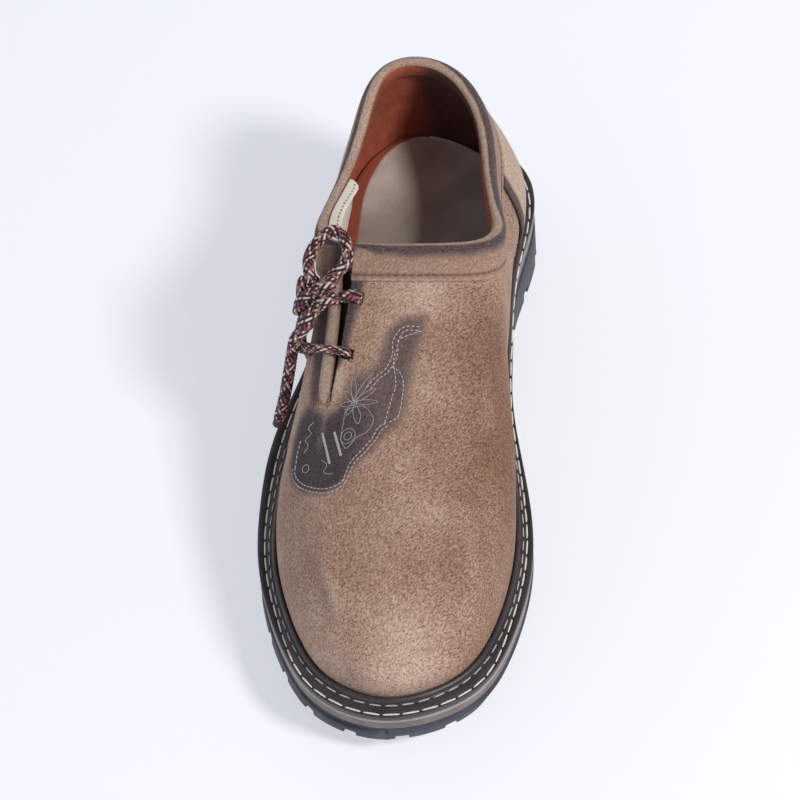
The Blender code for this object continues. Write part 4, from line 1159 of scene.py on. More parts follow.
def buildUpper():
    look = upperLooks
    places = np.linspace(last["slitSection"], slitPlace, look["columns"])
    lengths = wallLength(places)
    drops = np.linspace(1, 0, look["rows"])[:, None] * lengths
    grid = np.broadcast_to(places, drops.shape)
    points, out = wallPoints(grid, drops, normals=True)
    spots = chartSpots(grid, drops)
    relief = upperRelief(points, grid, drops, lengths - drops, spots)
    points = points + relief[..., None] * out
    dark = upperBurnish(spots)
    across, below = np.moveaxis(spots, -1, 0)
    paleLip = smoothStep(*look["paleLipWidth"], across) * (across > 0) * plateau(look["paleLipEnds"], below)
    strength, start = look["paleRidge"]
    # the spots add painted shade and painted highlights to the tone
    tone = lightAndToneOf(points) + strength * np.clip(relief - start, 0, 1) + look["paleLip"] * paleLip
    mesh = gridMesh("suedeUpper", points)
    paint(mesh, burnish=dark, tone=tone * (1 - dark))
    # cream lining in the forefoot, and painted shade on the lining of the inner side
    paint(mesh, cream=grid < look["creamFrom"], worn=smoothStep(*look["wornLining"], grid))
    with editing(mesh) as work:  # the two edges meet below the slit
        bmesh.ops.remove_doubles(work, verts=work.verts, dist=look["meetWithin"] * mm)
    skin = BVHTree.FromPolygons([v.co / mm for v in mesh.vertices], [p.vertices for p in mesh.polygons])
    punchHoles(mesh)
    item = addPiece("suedeUpper", mesh, suede["upper"], lining, cutEdge)
    wall = item.modifiers.new("wall", "SOLIDIFY")
    wall.thickness = last["wall"] * mm
    wall.offset = -1
    wall.material_offset = 1
    wall.material_offset_rim = 2
    dress(settle(item), "upper_suede", "upper")
    print("upper has", len(item.data.polygons), "faces")
    return skin


upperSkin = buildUpper()


def onSkin(points):  # points brought to the leather's face, with the way out there
    hits = [upperSkin.find_nearest(Vector(point)) for point in points]
    out = np.array([hit[1] for hit in hits])
    return np.array([hit[0] for hit in hits]) + upperLooks["stitchLift"] * out, out


# Stitched ornament: double outlines, an edelweiss with its leaf, and small signs
ornamentThread = {  # pitch, length, width, height, wander and seed of the stitches
    "outline": (1.9, 1.4, 0.4, 0.34, 0.12, 3),
    "fine": (1.0, 0.95, 0.32, 0.28, 0.1, 5),
    "bars": (1.3, 1.6, 1.25, 0.42, 0.2, 7),
}


def chartLine(spots):
    places, drops = chartPlaces(smoothPath(spots, 0.5))
    return (*onSkin(wallPoints(places, drops, gaping=False)), False)


def besideLine(spots, gap):  # second row to the left of a line's way
    path = smoothPath(spots, 1.0)
    along = unit(np.gradient(path, axis=0))
    return path + gap * np.column_stack([along[:, 1], -along[:, 0]])


def petalLine(start, tip, width):
    way = np.subtract(tip, start)
    side = unit(np.array([way[1], -way[0]]))
    shares = np.linspace(0, 1, 7)[:, None]
    middle = start + shares * way
    bows = width * np.sin(math.pi * shares) ** 0.8 * side
    return np.concatenate([middle + bows, (middle - bows)[::-1][1:]])


def roundLine(middle, radius):
    angles = np.linspace(0, 2 * math.pi, 14)
    return np.array(middle) + radius * np.column_stack([np.cos(angles), np.sin(angles)])


def stitchOrnament():
    chart = ornament
    doubled = [chart[name] for name in ("neckLeft", "bodyRight", "bottom")]
    single = [chart[name] for name in ("neckMiddle", "neckRight", "left")]
    outline = [chartLine(line) for line in doubled + single]
    outline += [chartLine(besideLine(line, chart["doubleGap"])) for line in doubled]
    sew("ornamentOutline", outline, thread["dull"], "upper_suede", *ornamentThread["outline"])
    flower = chart["flower"]
    fine = [petalLine(flower, tip, chart["petalWidth"]) for tip in chart["petals"]]
    fine += [roundLine(flower, chart["flowerRadius"]), chart["leaf"], chart["leafInner"]]
    fine += [roundLine(chart["circle"], radius) for radius in chart["circleRadii"]]
    fine += [roundLine(chart["ring"], chart["ringRadius"]), chart["squiggle"], chart["curls"]]
    lines = [chartLine(line) for line in fine]
    sew("ornamentFlower", lines, thread["grey"], "upper_suede", *ornamentThread["fine"])
    bars = [chartLine(line) for line in chart["bars"]]
    sew("ornamentBars", bars, thread["grey"], "upper_suede", *ornamentThread["bars"])


stitchOrnament()
print("upper and its ornament ready")


# Collar band: padded strip folded over the topline, lined inside
bandLooks = {
    "columns": 641,
    "step": 0.6,  # between points of the profile
    "drop": 14.0,
    "seamDrop": 11.6,
    "seamStitch": (3.0, 2.5, 0.6, 0.45, 0.08, 2),  # pitch, length, width, height, wander and seed
    "seamWidth": 1.3,
    "seamLift": 0.12,
    "seamBurn": 0.3,
    "pucker": 0.16,
    "swell": ((22.0, 0.22, 9), (7.0, 0.1, 4)),  # size, height and seed of the padding's waves
    "crestWave": (16.0, 0.25, 5),
    "crestFrom": -0.8,  # the crest is above this drop
    "insideFrom": -2.7,  # and the inner side beyond this offset
    "paleCrest": (-1.6, -2.3),  # drops where the rubbed crest and the raw lower edge turn pale
    "paleHem": (13.3, 13.9),
    "paleShare": 0.4,
    "sideBurn": (2.2, 4.9),  # dark strip, in millimetres outwards from the crest
    "innerBurn": (0.7, 6.4),
    "frontBurn": (3.3, 8.7),
    "burnStrength": 0.8,
    "burnWave": (7.0, 0.4, 2),
    "burnFrontWave": 2.0,  # the front's waves are higher by this share
    "burnTopWave": (5.0, 0.3, 6),
    "burnSoft": (0.5, 0.6, 2.2),  # of the strip's upper and lower edge, and what the front adds
    "frontEnds": (8.2, 9.2, 14.4, 16.0),  # places where the front's strip begins and ends
    "innerEnds": (15.0, 16.2, 18.6, 20.2),
    "lining": (2.1, 15.4),  # in millimetres inwards from the crest
    # places of painted shade on the band's lining at the inner back
    "wornLining": (16.8, 18.2, 19.5, 20.15),
    "slitBurnAndShade": (1.2, 0.15),  # sections before the slit where its front end is painted dark: painted shade inside the lace's loop
}
bandProfile = [  # drop and offset from the wall, from the lower outer edge over the crest to the inside
    (14.0, 0.35), (14.0, 1.05), (13.7, 1.5), (13.2, 1.68), (12.6, 1.7), (12.1, 1.55), (11.6, 1.35),
    (11.1, 1.6), (10.2, 1.95), (9.0, 2.15), (7.2, 2.3), (5.5, 2.35), (3.8, 2.35), (2.2, 2.3), (0.8, 2.05),
    (-0.6, 1.6), (-1.8, 0.8), (-2.5, -0.2), (-2.7, -1.2), (-2.5, -2.2), (-1.8, -3.0), (-0.9, -3.6),
    (0.6, -4.15), (2.0, -4.35), (3.6, -4.4), (5.0, -4.3), (5.7, -4.0), (6.0, -3.4), (6.0, -2.6),
    (4.0, -2.5), (2.0, -2.5), (-0.2, -2.5), (-0.3, -1.1), (-0.2, 0.3), (3.0, 0.3), (6.5, 0.3), (10.0, 0.3),
]


def bandBurn(places, middle, outward):  # dark strip along the outer shoulder, broader at the front
    look = bandLooks
    low, high = (np.full(places.shape, value) for value in look["sideBurn"])
    for name in ("inner", "front"):
        share = plateau(look[name + "Ends"], places)
        low, high = (now + share * (end - now) for now, end in zip((low, high), look[name + "Burn"]))
    high = high + (1 + look["burnFrontWave"] * share) * ripple(middle, *look["burnWave"])[:, None]
    low = low + ripple(middle, *look["burnTopWave"])[:, None]
    top, soft, more = look["burnSoft"]
    soft = soft + more * share
    return look["burnStrength"] * plateau((low - top, low + top, high - soft, high + soft), outward)


def buildBand():
    look = bandLooks
    places = np.linspace(last["slitSection"], slitPlace, look["columns"])[:, None]
    profile = smoothPath(bandProfile, look["step"])
    drops, offsets = profile.T
    outward = runOf(profile)
    outward = outward[np.argmin(drops)] - outward
    outerFace = (outward > 0) & (offsets > 1)
    middle = wallPoints(places[:, 0], 0.0)
    seam = np.exp(-(((drops - look["seamDrop"]) / look["seamWidth"]) ** 2)) * outerFace
    pitches = runOf(middle)[:, None] / look["seamStitch"][0]
    pucker = look["pucker"] * seam * np.cos(2 * math.pi * pitches)
    crest = drops < look["crestFrom"]
    shown = outerFace | (offsets < look["insideFrom"]) | crest
    swell = sum(ripple(middle, *wave) for wave in look["swell"])
    push = np.where(offsets > -1, 1, -1) * swell[:, None] * shown + pucker
    wavyDrops = drops + ripple(middle, *look["crestWave"])[:, None] * crest
    points = wallPoints(places, wavyDrops, offsets + push)
    # painted shade on the band's end inside the lace's loop
    slitEnd = smoothStep(*(slitPlace - way for way in look["slitBurnAndShade"]), places)
    slitEnd = look["burnStrength"] * slitEnd * outerFace
    burn = np.maximum(bandBurn(places, middle, outward) + look["seamBurn"] * seam, slitEnd)
    pale = smoothStep(*look["paleCrest"], drops) + 0.9 * smoothStep(*look["paleHem"], drops) * (offsets > 0.9)
    mesh = gridMesh("collarBand", points, roundColumns=True)
    tone = np.clip(look["paleShare"] * pale, 0, 1) * np.ones_like(places)
    # painted shade on the band's lining at the inner back
    worn = plateau(look["wornLining"], places) * np.ones_like(drops)
    paint(mesh, burnish=np.clip(burn, 0, 1), tone=tone, worn=worn)
    near, far = look["lining"]
    lined = (outward < -near) & (outward > -far)
    mesh.polygons.foreach_set("material_index", np.tile(lined, look["columns"] - 1).astype(np.int32))
    closeEnds(mesh)
    item = dress(addPiece("collarBand", mesh, suede["band"], lining), "band_suede", "collar_band")
    depth = np.interp(look["seamDrop"], drops[outerFace][::-1], offsets[outerFace][::-1])
    line = wallPoints(places[2:-2, 0], look["seamDrop"], depth + look["seamLift"], normals=True)
    sew("bandSeam", [(*line, False)], thread["rust"], "band_suede", *look["seamStitch"])


buildBand()

# Heel panel over the back of the quarters, with dark worn front edges
panelLooks = {
    "start": 17.35,
    "end": 22.75,
    "thick": 1.2,
    "footRise": 7.5,
    "swell": (20.0, 0.25, 6),  # size, height and seed of its waves, and how far it stands off
    "stand": 0.225,
    "burn": (6.5, 3.0, 0.85),  # width, where it is full, and strength
    "fray": (6.0, 1.2, 8),
    "edge": 0.4,
    "columns": 161,
    "rows": 41,
    "seams": (17.13, 17.25, 22.87, 22.99),  # places of the stitched rows beside it
    "seamPoints": 60,
    "stitch": (2.6, 2.0, 0.45, 0.3, 0.1, 4),
}


def buildPanel():
    look = panelLooks
    places = np.linspace(look["start"], look["end"], look["columns"])
    lengths = wallLength(places)
    top = bandLooks["drop"] + last["seatGap"]
    drops = top + np.linspace(1, 0, look["rows"])[:, None] * (lengths - look["footRise"] - top)
    grid = np.broadcast_to(places, drops.shape)
    points, out = wallPoints(grid, drops, last["seatGap"], normals=True)
    points = points + (look["stand"] + ripple(points, *look["swell"]))[..., None] * out
    edges = [np.linalg.norm(points - points[:, [end]], axis=-1) for end in (0, -1)]
    frayed = np.minimum(*edges) + ripple(points, *look["fray"])
    width, full, strength = look["burn"]
    mesh = gridMesh("heelPanel", points)
    paint(mesh, burnish=strength * smoothStep(width, full, frayed))
    item = addPiece("heelPanel", mesh, suede["panel"])
    thicken(item, look["thick"], 1, look["edge"])
    dress(settle(item), "panel_suede", "heel_counter")
    rows = []
    for place in look["seams"]:
        drop = np.linspace(top + 0.5, wallLength([place])[0] - look["footRise"], look["seamPoints"])
        rows.append((*onSkin(wallPoints(place, drop)), False))
    sew("panelSeams", rows, thread["grey"], "panel_suede", *look["stitch"])


buildPanel()

# Turned edge along the rear side of the slit
bindingLooks = {
    "width": (0.54, 0.4),  # of a section, at the band and at its lower end
    "edge": 0.6,  # height at its edges and along its middle
    "crown": 1.9,
    "rows": 101,
    "across": 19,
    "fullness": 0.4,  # power of its round top
    "lowEnd": 0.3,  # share of its height at the lower end
    "swell": (7.0, 0.12, 5),
    "burn": (0.3, 0.12),  # strength at the slit's edge, and share of the width
    "pale": 0.35,
    "rounding": 9.0,  # millimetres of its rounded lower end
    "endAt": 0.4,  # share of the width where that end comes to a point
}


def buildBinding():
    look = bindingLooks
    across = np.linspace(0, 1, look["across"])
    height = look["edge"] + (look["crown"] - look["edge"]) * np.sin(math.pi * across) ** look["fullness"]
    spots = np.concatenate([across, across[::-1][1:-1]])
    heights = np.concatenate([height, np.full(len(across) - 2, last["seatGap"])])
    drops = np.linspace(bandLooks["drop"] + last["seatGap"], last["slitLength"], look["rows"])[:, None]
    left = np.clip((last["slitLength"] - drops) / look["rounding"], 0.02, 1)
    taper = np.sqrt(1 - (1 - left) ** 2)
    width = np.interp(drops, (bandLooks["drop"], last["slitLength"]), look["width"])
    places = slitPlace - width * (look["endAt"] * (1 - taper) + taper * spots)
    lifts = last["seatGap"] + (heights - last["seatGap"]) * (look["lowEnd"] + (1 - look["lowEnd"]) * taper)
    points, out = wallPoints(places, drops, lifts, normals=True)
    points = points + (ripple(points, *look["swell"]) * (heights > last["seatGap"]))[..., None] * out
    mesh = gridMesh("slitBinding", points, roundColumns=True)
    strength, width = look["burn"]
    burn = strength * smoothStep(width, 0.0, spots) * np.ones_like(drops)
    paint(mesh, burnish=burn, tone=look["pale"] * np.sin(math.pi * spots) ** 2 * np.ones_like(drops))
    closeEnds(mesh)
    dress(addPiece("slitBinding", mesh, suede["binding"]), "binding_suede", "slit_binding")


buildBinding()

# Tongue behind the slit; its rear wing is folded in over the outer collar's crest
tongueLooks = {
    "offset": -4.8,
    "thick": 1.1,
    "edge": 0.3,
    "columns": 281,
    "rows": 40,
    "wingRows": 34,
    "frontTop": 0.2,
    "wingEnds": (26.2, 27.4),  # the wing turns into the plain front between these places
    "rounding": 0.22,  # of a section, at the free end
    "teeth": (2.0, 0.03),  # pitch in millimetres and share of the wing's width
    "stitch": (2.2, 1.3, 0.5, 0.4, 0.1, 6),
    "stitchAt": 0.82,  # share of the wing's width
    "stitchEnds": (0.16, 0.3),  # sections past the free end, and past the wing's folded part
    "stitchPoints": 90,
    "stitchSink": 0.02,
    "crowding": 1.4,  # more rows towards the wing
    "swell": (11.0, 0.12, 7),
    "stand": -0.12,
    "backingDrops": (5, 9),  # painted shade on the front's face, inside the slit's gap, between these drops and places
    "backingPlaces": (25.4, 25.8),
}
tongueStops = {"place": (23.3, 24.75, 25.5, 26.75, 28.0, 29.75), "foot": (12, 22, 42, 70, 78, 78)}
wingProfile = [  # drop and offset from the wall: up behind the band, over its crest and in
    (2.0, -4.8), (0.6, -4.6), (-0.9, -4.05), (-1.6, -3.75), (-2.2, -3.95), (-2.4, -4.8), (-2.3, -6.2),
    (-2.1, -7.4), (-1.7, -8.5), (-1.2, -9.4),
]


def wingPoints(places, shares):
    look = tongueLooks
    fold = smoothPath(wingProfile, 0.1)
    at = shares * (len(fold) - 1)
    start, end = look["wingEnds"]
    plain = smoothStep(start, end, places)
    steps = np.arange(len(fold))
    rise = fold[0, 0] + shares * (look["frontTop"] - fold[0, 0])
    drops = (1 - plain) * np.interp(at, steps, fold[:, 0]) + plain * rise
    offsets = (1 - plain) * np.interp(at, steps, fold[:, 1]) + plain * look["offset"]
    return wallPoints(places, drops, offsets, gaping=False)


def gridNormals(points):
    return unit(np.cross(np.gradient(points, axis=1), np.gradient(points, axis=0)))


def wingReach(places):  # the free end is rounded and the edge is pinked
    look = tongueLooks
    share = np.clip((places - tongueStops["place"][0]) / look["rounding"], 0.02, 1)
    run = runOf(wallPoints(places, 0.0, gaping=False))
    pitch, height = look["teeth"]
    return np.sqrt(1 - (1 - share) ** 2) * (1 - height * (np.abs(2 * ((run / pitch) % 1) - 1)))


def buildTongue():
    look = tongueLooks
    places = np.linspace(tongueStops["place"][0], tongueStops["place"][-1], look["columns"])
    foot = np.interp(places, tongueStops["place"], tongueStops["foot"])
    rise = 1 - np.linspace(1, 0, look["rows"])[:, None] ** look["crowding"]
    drops = foot + rise * (wingProfile[0][0] - foot)
    behind = wallPoints(np.broadcast_to(places, drops.shape), drops, look["offset"], gaping=False)
    shares = np.linspace(0, 1, look["wingRows"])[1:, None] * wingReach(places)
    points = np.concatenate([behind, wingPoints(np.broadcast_to(places, shares.shape), shares)])
    points = points + (look["stand"] - ripple(points, *look["swell"]))[..., None] * gridNormals(points)
    mesh = gridMesh("creamTongue", points)
    # painted shade on the front's face, where it shows in the slit's gap
    backing = smoothStep(*look["backingDrops"], drops) * smoothStep(*look["backingPlaces"], places)
    paint(mesh, backing=np.concatenate([backing, np.zeros_like(shares)]))
    item = addPiece("creamTongue", mesh, tongueLeather)
    thicken(item, look["thick"], -1, look["edge"])
    dress(settle(item), "tongue_leather", "tongue")
    start, end = look["stitchEnds"]
    along = np.linspace(places[0] + start, look["wingEnds"][0] + end, look["stitchPoints"])
    rows = np.array([-0.01, 0.0, 0.01])[:, None] + look["stitchAt"] * wingReach(along)
    strip = wingPoints(np.broadcast_to(along, rows.shape), rows)
    out = gridNormals(strip)[1]
    line = [(strip[1] - look["stitchSink"] * out, out, False)]
    sew("tongueSeam", line, thread["dark"], "tongue_leather", *look["stitch"])


buildTongue()
print("collar, panel, binding and tongue ready")


# Sole: welt with a bead and two rows of stitches, and the midsole
soleLooks = {
    "columns": 480,
    "weltThick": 4.2,
    "beadRise": 2.4,
    "beadWidth": 2.6,
    "outerRow": (0.42, 0.78),  # share of the way from the bead to the rim, at the sides and the toe
    "innerRow": 0.1,
    "innerRowTo": -18.0,  # the inner row shows from the toe back to here
    "toeFrom": (-95.0, -132.0),  # the rows move outwards between these
    "midsoleThick": 5.2,
    "midsoleSharp": 50,  # degrees between faces
    "outerStitch": (7.8, 6.9, 0.84, 0.7, 0.03, 8),  # pitch, length, width, height, wander and seed
    "outerLift": -0.1,
    "innerStitch": (6.4, 4.8, 0.6, 0.45, 0.05, 9),
    "innerLift": 0.05,
}
soleTurn = np.linspace(0, turn, soleLooks["columns"], endpoint=False)
beadShape = [  # share of the bead's width, and of its rise
    (0.0, 0.72), (0.06, 0.9), (0.2, 1.0), (0.4, 1.0), (0.58, 0.93), (0.74, 0.76), (0.87, 0.48),
    (0.96, 0.18), (1.0, 0.0),
]
weltShape = [  # share of the way from the bead to the rim, whether it goes with the outer row, and the height
    (0.12, 0, 0.0), (-0.14, 1, 0.0), (-0.08, 1, -0.35), (0.08, 1, -0.35), (0.14, 1, 0.0), (0.94, 0, 0.03),
    (0.97, 0, -0.1), (0.99, 0, -0.35), (1.0, 0, -0.8), (1.0, 0, -2.0), (0.995, 0, -2.5), (0.97, 0, -2.7),
]


def weltFrame():  # crest of the bead, its foot and the rim, round the shoe
    look = soleLooks
    lengths = wallLength(soleTurn)
    foot = wallPoints(soleTurn, lengths, last["seatGap"], gaping=False)
    crestDrops = lengths - look["weltThick"] - look["beadRise"]
    crest = wallPoints(soleTurn, crestDrops, last["seatGap"], gaping=False)
    rim, out = rimPoints(soleTurn)
    out = np.column_stack([out, np.zeros(len(out))])
    beadFoot = crest + look["beadWidth"] * out
    return foot, crest, beadFoot, rim, out


def weltTop(plan):
    return smoothHeight(bed, plan[..., 1]) + last["seatGap"] + soleLooks["weltThick"]


def buildWelt():
    look = soleLooks
    foot, crest, beadFoot, rim, out = weltFrame()
    flat = weltTop(beadFoot)
    rise = crest[:, 2] - flat
    rows = [np.column_stack([foot[:, :2], smoothHeight(bed, foot[:, 1]) + last["seatGap"]])]
    for share, height in beadShape:
        plan = crest[:, :2] + share * look["beadWidth"] * out[:, :2]
        rows.append(np.column_stack([plan, flat + height * rise]))
    side, toe = look["outerRow"]
    rowShare = side + (toe - side) * smoothStep(*look["toeFrom"], rim[:, 1])
    flatWay = rim - beadFoot[:, :2]
    for share, withRow, sink in weltShape:
        plan = beadFoot[:, :2] + (share + withRow * rowShare)[:, None] * flatWay
        rows.append(np.column_stack([plan, weltTop(plan) + sink]))
    mesh = gridMesh("stitchedWelt", np.array(rows), roundRows=True, roundColumns=True)
    closeEnds(mesh)
    dress(addPiece("stitchedWelt", mesh, weltLeather), "welt_leather", "welt")
    up = np.tile([0.0, 0.0, 1.0], (len(out), 1))
    plan = beadFoot[:, :2] + rowShare[:, None] * flatWay
    outerRow = np.column_stack([plan, weltTop(plan) + look["outerLift"]])
    line = [(outerRow, up, True)]
    sew("weltOuterRow", line, thread["white"], "welt_leather", *look["outerStitch"])
    plan = beadFoot[:, :2] + look["innerRow"] * flatWay
    innerRow = np.column_stack([plan, weltTop(plan) + look["innerLift"]])[rim[:, 1] < look["innerRowTo"]]
    line = [(innerRow, up[: len(innerRow)], False)]
    sew("weltInnerRow", line, thread["dull"], "welt_leather", *look["innerStitch"])


def capLadder(mesh, loops):  # closes each loop with rungs from the outer to the inner side
    with editing(mesh) as work:
        work.verts.ensure_lookup_table()
        for loop in loops:
            ring = [work.verts[i] for i in loop]
            work.faces.new([ring[0], ring[1], ring[-1]])
            for k in range(1, len(ring) // 2):
                corners = dict.fromkeys([ring[k], ring[k + 1], ring[-k - 1], ring[-k]])
                if len(corners) > 2:
                    work.faces.new(list(corners))
        bmesh.ops.recalc_face_normals(work, faces=work.faces)
    mesh.shade_smooth()
    mesh.set_sharp_from_angle(angle=math.radians(soleLooks["midsoleSharp"]))


midsoleLip = [  # inset from the rim and height over the bed, from the top round the lip and down the side
    (9.0, 0.0), (3.2, 0.9), (0.6, 1.6), (0.15, 1.45), (0.0, 1.1), (0.0, 0.3), (0.1, -0.4), (0.3, -1.2),
    (0.3, -2.4), (0.25, -3.4),
]
midsoleFoot = [(0.3, 0.4), (0.6, 0.0), (9.0, 0.0)]  # inset, and height over the underside


def buildMidsole():
    shape = midsoleLip + [(inset, height - soleLooks["midsoleThick"]) for inset, height in midsoleFoot]
    rows = []
    for inset, height in shape:
        plan = rimPoints(soleTurn, np.full(len(soleTurn), inset))[0]
        rows.append(np.column_stack([plan, smoothHeight(bed, plan[:, 1]) + height]))
    mesh = gridMesh("midsoleEdge", np.array(rows), roundColumns=True)
    count = len(soleTurn)
    capLadder(mesh, [range(count), range((len(rows) - 1) * count, len(rows) * count)])
    lip = [1.0 if inset < 0.2 and height > 0 else 0.0 for inset, height in shape]
    paint(mesh, edge=np.repeat(lip, count))
    dress(addPiece("midsoleEdge", mesh, midsoleLayer), "midsole_layer", "midsole")


buildWelt()
buildMidsole()

# Outsole: lofted along the shoe, then notched and grooved like the solid
treadTable = [  # y, and the tread's height over the floor
    (-150, 12), (-128, 6), (-108, 1.6), (-96, 0), (-14, 0), (-10, 6), (20, 10.5), (50, 14), (59, 15),
    (62, 0), (150, 0),
]
flareTable = [  # y, and how far the foot stands out on the outer and the inner side
    (-150, -1.0, -1.0), (-128, 0.0, -3.5), (-104, 0.4, -4.6), (-60, 0.4, -3.6), (-14, 0.4, -1.5),
    (42, 0.4, 0.0), (62, -0.8, -0.8), (95, 2.5, 0.3), (150, 2.5, 2.5),
]
outsoleLooks = {
    "stations": 171,
    "stationGap": 0.6,
    "sideInset": 1.1,  # groove under the midsole, and the slope below it
    "sideDrop": 3.0,
    "sideSlope": 0.6,
    "endRounding": 6,
    "cutFrom": -3.0,  # the cuts begin under the tread
    "lugDepth": 5.0,
    "lugMargin": 8.0,
    "notchWidth": 5.5,
    "notchPitch": 21.0,
    "notchReach": 13.0,
    "notchShift": 5.0,
    "notchOverhang": 3.0,
    "channelInset": 16.0,
    "channelWidth": 4.0,
    "channelEnds": ((-122.0, -23.0), (71.0, 124.0)),
    "grooveYs": (-104, -84, -64, -44, 82, 103),
    "grooveWidth": 4.5,
    "sipeYs": (-113, -94, -74, -54, -34, 92.5, 113),  # fine cuts in the bars
    "sipeWidth": 0.9,
    "sipeDepth": 1.6,
    "treadEnd": -14.0,
    "heelBreast": 62.0,
    "softEdge": 0.5,
    "softFrom": 35,  # degrees between faces
    "sharpFrom": 40,
    "outlinePoints": 1280,
    "channelPoints": 33,
}


def straight(table, y, column=1):
    return np.interp(y, [row[0] for row in table], [row[column] for row in table])


def rimSides(inset):  # outer and inner half of an inset outline, each from toe to heel
    places = np.linspace(0, turn, outsoleLooks["outlinePoints"], endpoint=False)
    plan = rimPoints(places, np.full(len(places), float(inset)))[0]
    plan = np.roll(plan, -int(np.argmax(plan[:, 1])), axis=0)
    toe = int(np.argmin(plan[:, 1]))
    return plan[: toe + 1][::-1], np.vstack([plan[toe:], plan[:1]])


def sideXs(sides, y):
    return [np.interp(y, side[:, 1], side[:, 0]) for side in sides]


def outsoleBlock():
    look = outsoleLooks
    rim = rimSides(0.0)
    groove = rimSides(look["sideInset"])
    toe, heel = rim[0][0, 1], rim[0][-1, 1]
    turns = (np.arange(look["stations"]) + 0.35) / (look["stations"] - 0.3)
    ys = (toe + heel) / 2 - (heel - toe) / 2 * np.cos(math.pi * turns)
    margin = look["lugMargin"]
    breaks = np.array([y for y, _ in treadTable if toe + margin < y < heel - margin])
    kept = [y for y in ys if np.abs(breaks - y).min() > look["stationGap"]]
    ys = np.sort(np.concatenate([kept, breaks]))
    reach = (ys - (toe + heel) / 2) / ((heel - toe) / 2)
    end = np.sign(reach) * np.abs(reach) ** look["endRounding"]
    top = smoothHeight(bed, ys) - soleLooks["midsoleThick"] - last["seatGap"]
    step = top - look["sideDrop"]
    grooveY = ys - look["sideInset"] * end
    sides = []
    for side, (grooveX, rimX) in enumerate(zip(sideXs(groove, grooveY), sideXs(rim, ys))):
        flare = straight(flareTable, ys, 1 + side)
        footX = rimX + (2 * side - 1) * flare * (1 - np.abs(end))
        levels = [
            np.column_stack([grooveX, grooveY, top]),
            np.column_stack([grooveX, grooveY, step]),
            np.column_stack([rimX, ys, step - look["sideSlope"]]),
            np.column_stack([footX, ys + flare * end, straight(treadTable, ys)]),
        ]
        sides.append(levels)
    mesh = gridMesh("luggedOutsole", np.stack(sides[0] + sides[1][::-1], axis=1), roundColumns=True)
    closeEnds(mesh)
    return mesh


def addCut(work, middle, angle, size, top):  # upright block from under the tread to a height
    low = outsoleLooks["cutFrom"]
    place = Matrix.Translation(Vector((*middle, (low + top) / 2)) * mm) @ Matrix.Rotation(angle, 4, "Z")
    stretch = Matrix.Diagonal(Vector((*size, top - low)) * mm).to_4x4()
    bmesh.ops.create_cube(work, size=1.0, matrix=place @ stretch)


def notchCuts(work):
    look = outsoleLooks
    places = np.linspace(0, turn, look["outlinePoints"] // 2 + 1)
    plan = rimPoints(places)[0]
    run = runOf(plan)
    first = run[int(np.argmin(plan[:, 1]))] + look["notchShift"]
    for number in range(int(run[-1] / look["notchPitch"])):
        at = (first + number * look["notchPitch"]) % run[-1]
        spot, away = rimPoints(np.array([np.interp(at, run, places)]))
        spot, away = spot[0], away[0]
        if look["treadEnd"] - look["lugMargin"] < spot[1] < look["heelBreast"] + look["lugMargin"]:
            continue
        root = spot - away * look["notchReach"] / 2
        size = (look["notchReach"] + 2 * look["notchOverhang"], look["notchWidth"])
        top = straight(treadTable, root[1]) + look["lugDepth"]
        addCut(work, root + away * look["notchOverhang"], math.atan2(away[1], away[0]), size, top)


def barCuts(work, ys, width, depth):
    inset = rimSides(outsoleLooks["channelInset"] + outsoleLooks["channelWidth"] / 2)
    for y in ys:
        left, right = sideXs(inset, y)
        addCut(work, ((left + right) / 2, y), 0.0, (right - left, width), straight(treadTable, y) + depth)


def channelCuts(work):
    look = outsoleLooks
    sides = rimSides(look["channelInset"])
    for low, high in look["channelEnds"]:
        ys = np.linspace(low, high, look["channelPoints"])
        left, right = sideXs(sides, ys)
        ring = np.concatenate([np.column_stack([left, ys]), np.column_stack([right, ys])[::-1]])
        inner = ring + look["channelWidth"] * unit(ring.mean(axis=0) - ring)
        rows = []
        for plan, isTop in ((ring, False), (ring, True), (inner, True), (inner, False)):
            heights = np.full(len(plan), look["cutFrom"])
            if isTop:
                heights = straight(treadTable, plan[:, 1]) + look["lugDepth"]
            rows.append(np.column_stack([plan, heights]))
        mesh = gridMesh("channel", np.array(rows), roundRows=True, roundColumns=True)
        work.from_mesh(mesh)
        bpy.data.meshes.remove(mesh)


def buildOutsole():
    look = outsoleLooks
    item = addPiece("luggedOutsole", outsoleBlock(), outsoleRubber)
    cutters = []
    jobs = [
        ("notches", notchCuts, ()),
        ("channels", channelCuts, ()),
        ("grooves", barCuts, (look["grooveYs"], look["grooveWidth"], look["lugDepth"])),
        ("sipes", barCuts, (look["sipeYs"], look["sipeWidth"], look["sipeDepth"])),
    ]
    for name, cutting, sizes in jobs:
        mesh = bpy.data.meshes.new(name)
        with editing(mesh) as work:
            cutting(work, *sizes)
            bmesh.ops.recalc_face_normals(work, faces=work.faces)
        cutters.append(addPiece(name, mesh))
        cut = item.modifiers.new(name, "BOOLEAN")
        cut.operation = "DIFFERENCE"
        cut.solver = "EXACT"
        cut.object = cutters[-1]
    soft = item.modifiers.new("softEdge", "BEVEL")
    soft.width = look["softEdge"] * mm
    soft.segments = 2
    soft.limit_method = "ANGLE"
    soft.angle_limit = math.radians(look["softFrom"])
    settle(item)
    for cutter in cutters:
        bpy.data.objects.remove(cutter)
    item.data.shade_smooth()
    item.data.set_sharp_from_angle(angle=math.radians(look["sharpFrom"]))
    dress(item, "outsole_rubber", "outsole")
    print("outsole has", len(item.data.polygons), "faces")


buildOutsole()

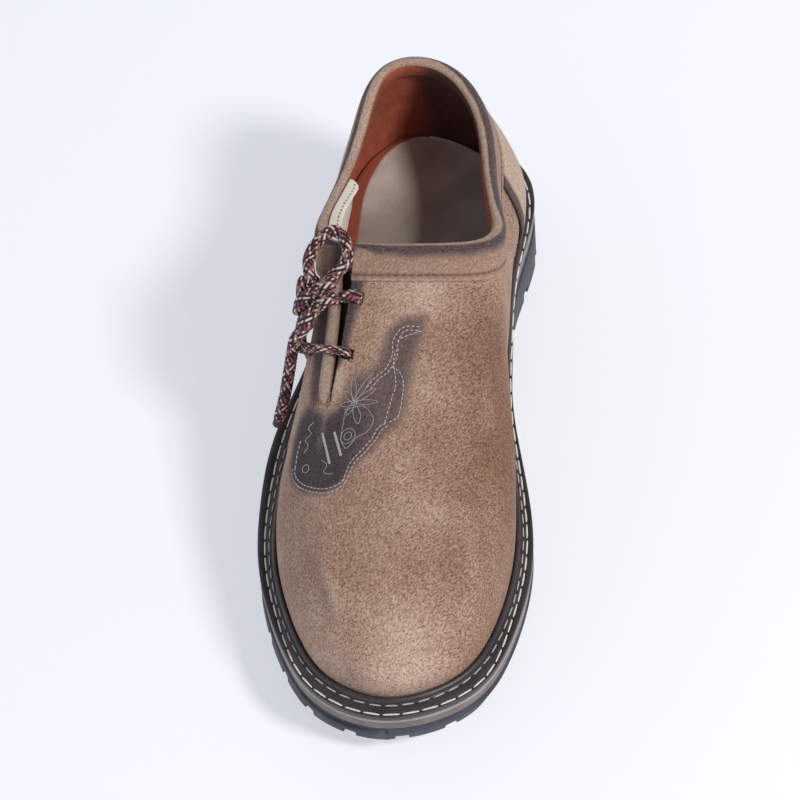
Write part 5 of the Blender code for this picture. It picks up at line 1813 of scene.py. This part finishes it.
# Insole: a pale pad with a soft edge, part covered by the fold of the lining
insolePad = [(-150, 3.2), (-40, 3.4), (10, 5.5), (60, 9.0), (150, 10.5)]  # y, and thickness
liningFold = [  # y, and how far the fold lies on the insole
    (-10, 0), (8, 1), (50, 4.2), (90, 6.5), (115, 6), (132, 3), (141, 0),
]
insoleLooks = {
    "stations": 150,
    "across": 49,
    "crowding": 1.5,  # more columns towards the fold
    "dish": 1.3,
    "dishPower": 0.8,
    "edgeDrop": 0.8,
    "edgeShare": 9,
    "tip": 0.02,
    "foldEdge": (-0.5, 0.5),
    "insoleShadeFrom": (116, 84),  # y where the painted shade begins and is full
    "insoleShadeSide": (16, -8),  # and x
}


def insoleEdge(places):
    clear = -last["wall"] - 2 * last["seatGap"]
    lengths = wallLength(places)
    low = wallPoints(places, lengths, clear, gaping=False)
    low[:, 2] = smoothHeight(bed, low[:, 1]) + last["seatGap"]
    thick = smoothHeight(insolePad, low[:, 1])
    top = wallPoints(places, lengths - thick, clear - last["seatGap"], gaping=False)
    top[:, 2] = low[:, 2] + thick
    return top, low


def buildInsole():
    look = insoleLooks
    half = turn / 2
    share = (1 - np.cos(np.linspace(0, math.pi, look["stations"]))) / 2
    places = look["tip"] + (half - 2 * look["tip"]) * share
    sides = [insoleEdge(places), insoleEdge(turn - places)]
    across = (np.linspace(0, 1, look["across"]) ** look["crowding"])[None, :, None]
    (topOuter, lowOuter), (topInner, lowInner) = sides
    top = topOuter[:, None] * (1 - across) + topInner[:, None] * across
    rim = np.clip(4 * across * (1 - across), 0, 1)
    edge = np.clip(1 - rim * look["edgeShare"], 0, 1) ** 2
    top[..., 2] -= (look["dish"] * rim ** look["dishPower"] + look["edgeDrop"] * edge)[..., 0]
    low = lowInner[:, None] * (1 - across) + lowOuter[:, None] * across
    mesh = gridMesh("insoleSheet", np.concatenate([top, low], axis=1), roundColumns=True)
    covered = straight(liningFold, top[..., 1]) - np.linalg.norm(top - topOuter[:, None], axis=-1)
    # painted shade towards the front and the outer side, under the tongue and knot
    insoleShade = smoothStep(*look["insoleShadeFrom"], top[..., 1]) * smoothStep(*look["insoleShadeSide"], top[..., 0])
    masks = {"backing": smoothStep(*look["foldEdge"], covered), "insoleShade": insoleShade}
    under = np.zeros(low.shape[:2])
    paint(mesh, **{name: np.concatenate([mask, under], axis=1) for name, mask in masks.items()})
    closeEnds(mesh)
    mesh.shade_smooth()
    dress(addPiece("insoleSheet", mesh, insoleLeather), "insole_leather", "insole")


buildInsole()
print("sole and insole ready")
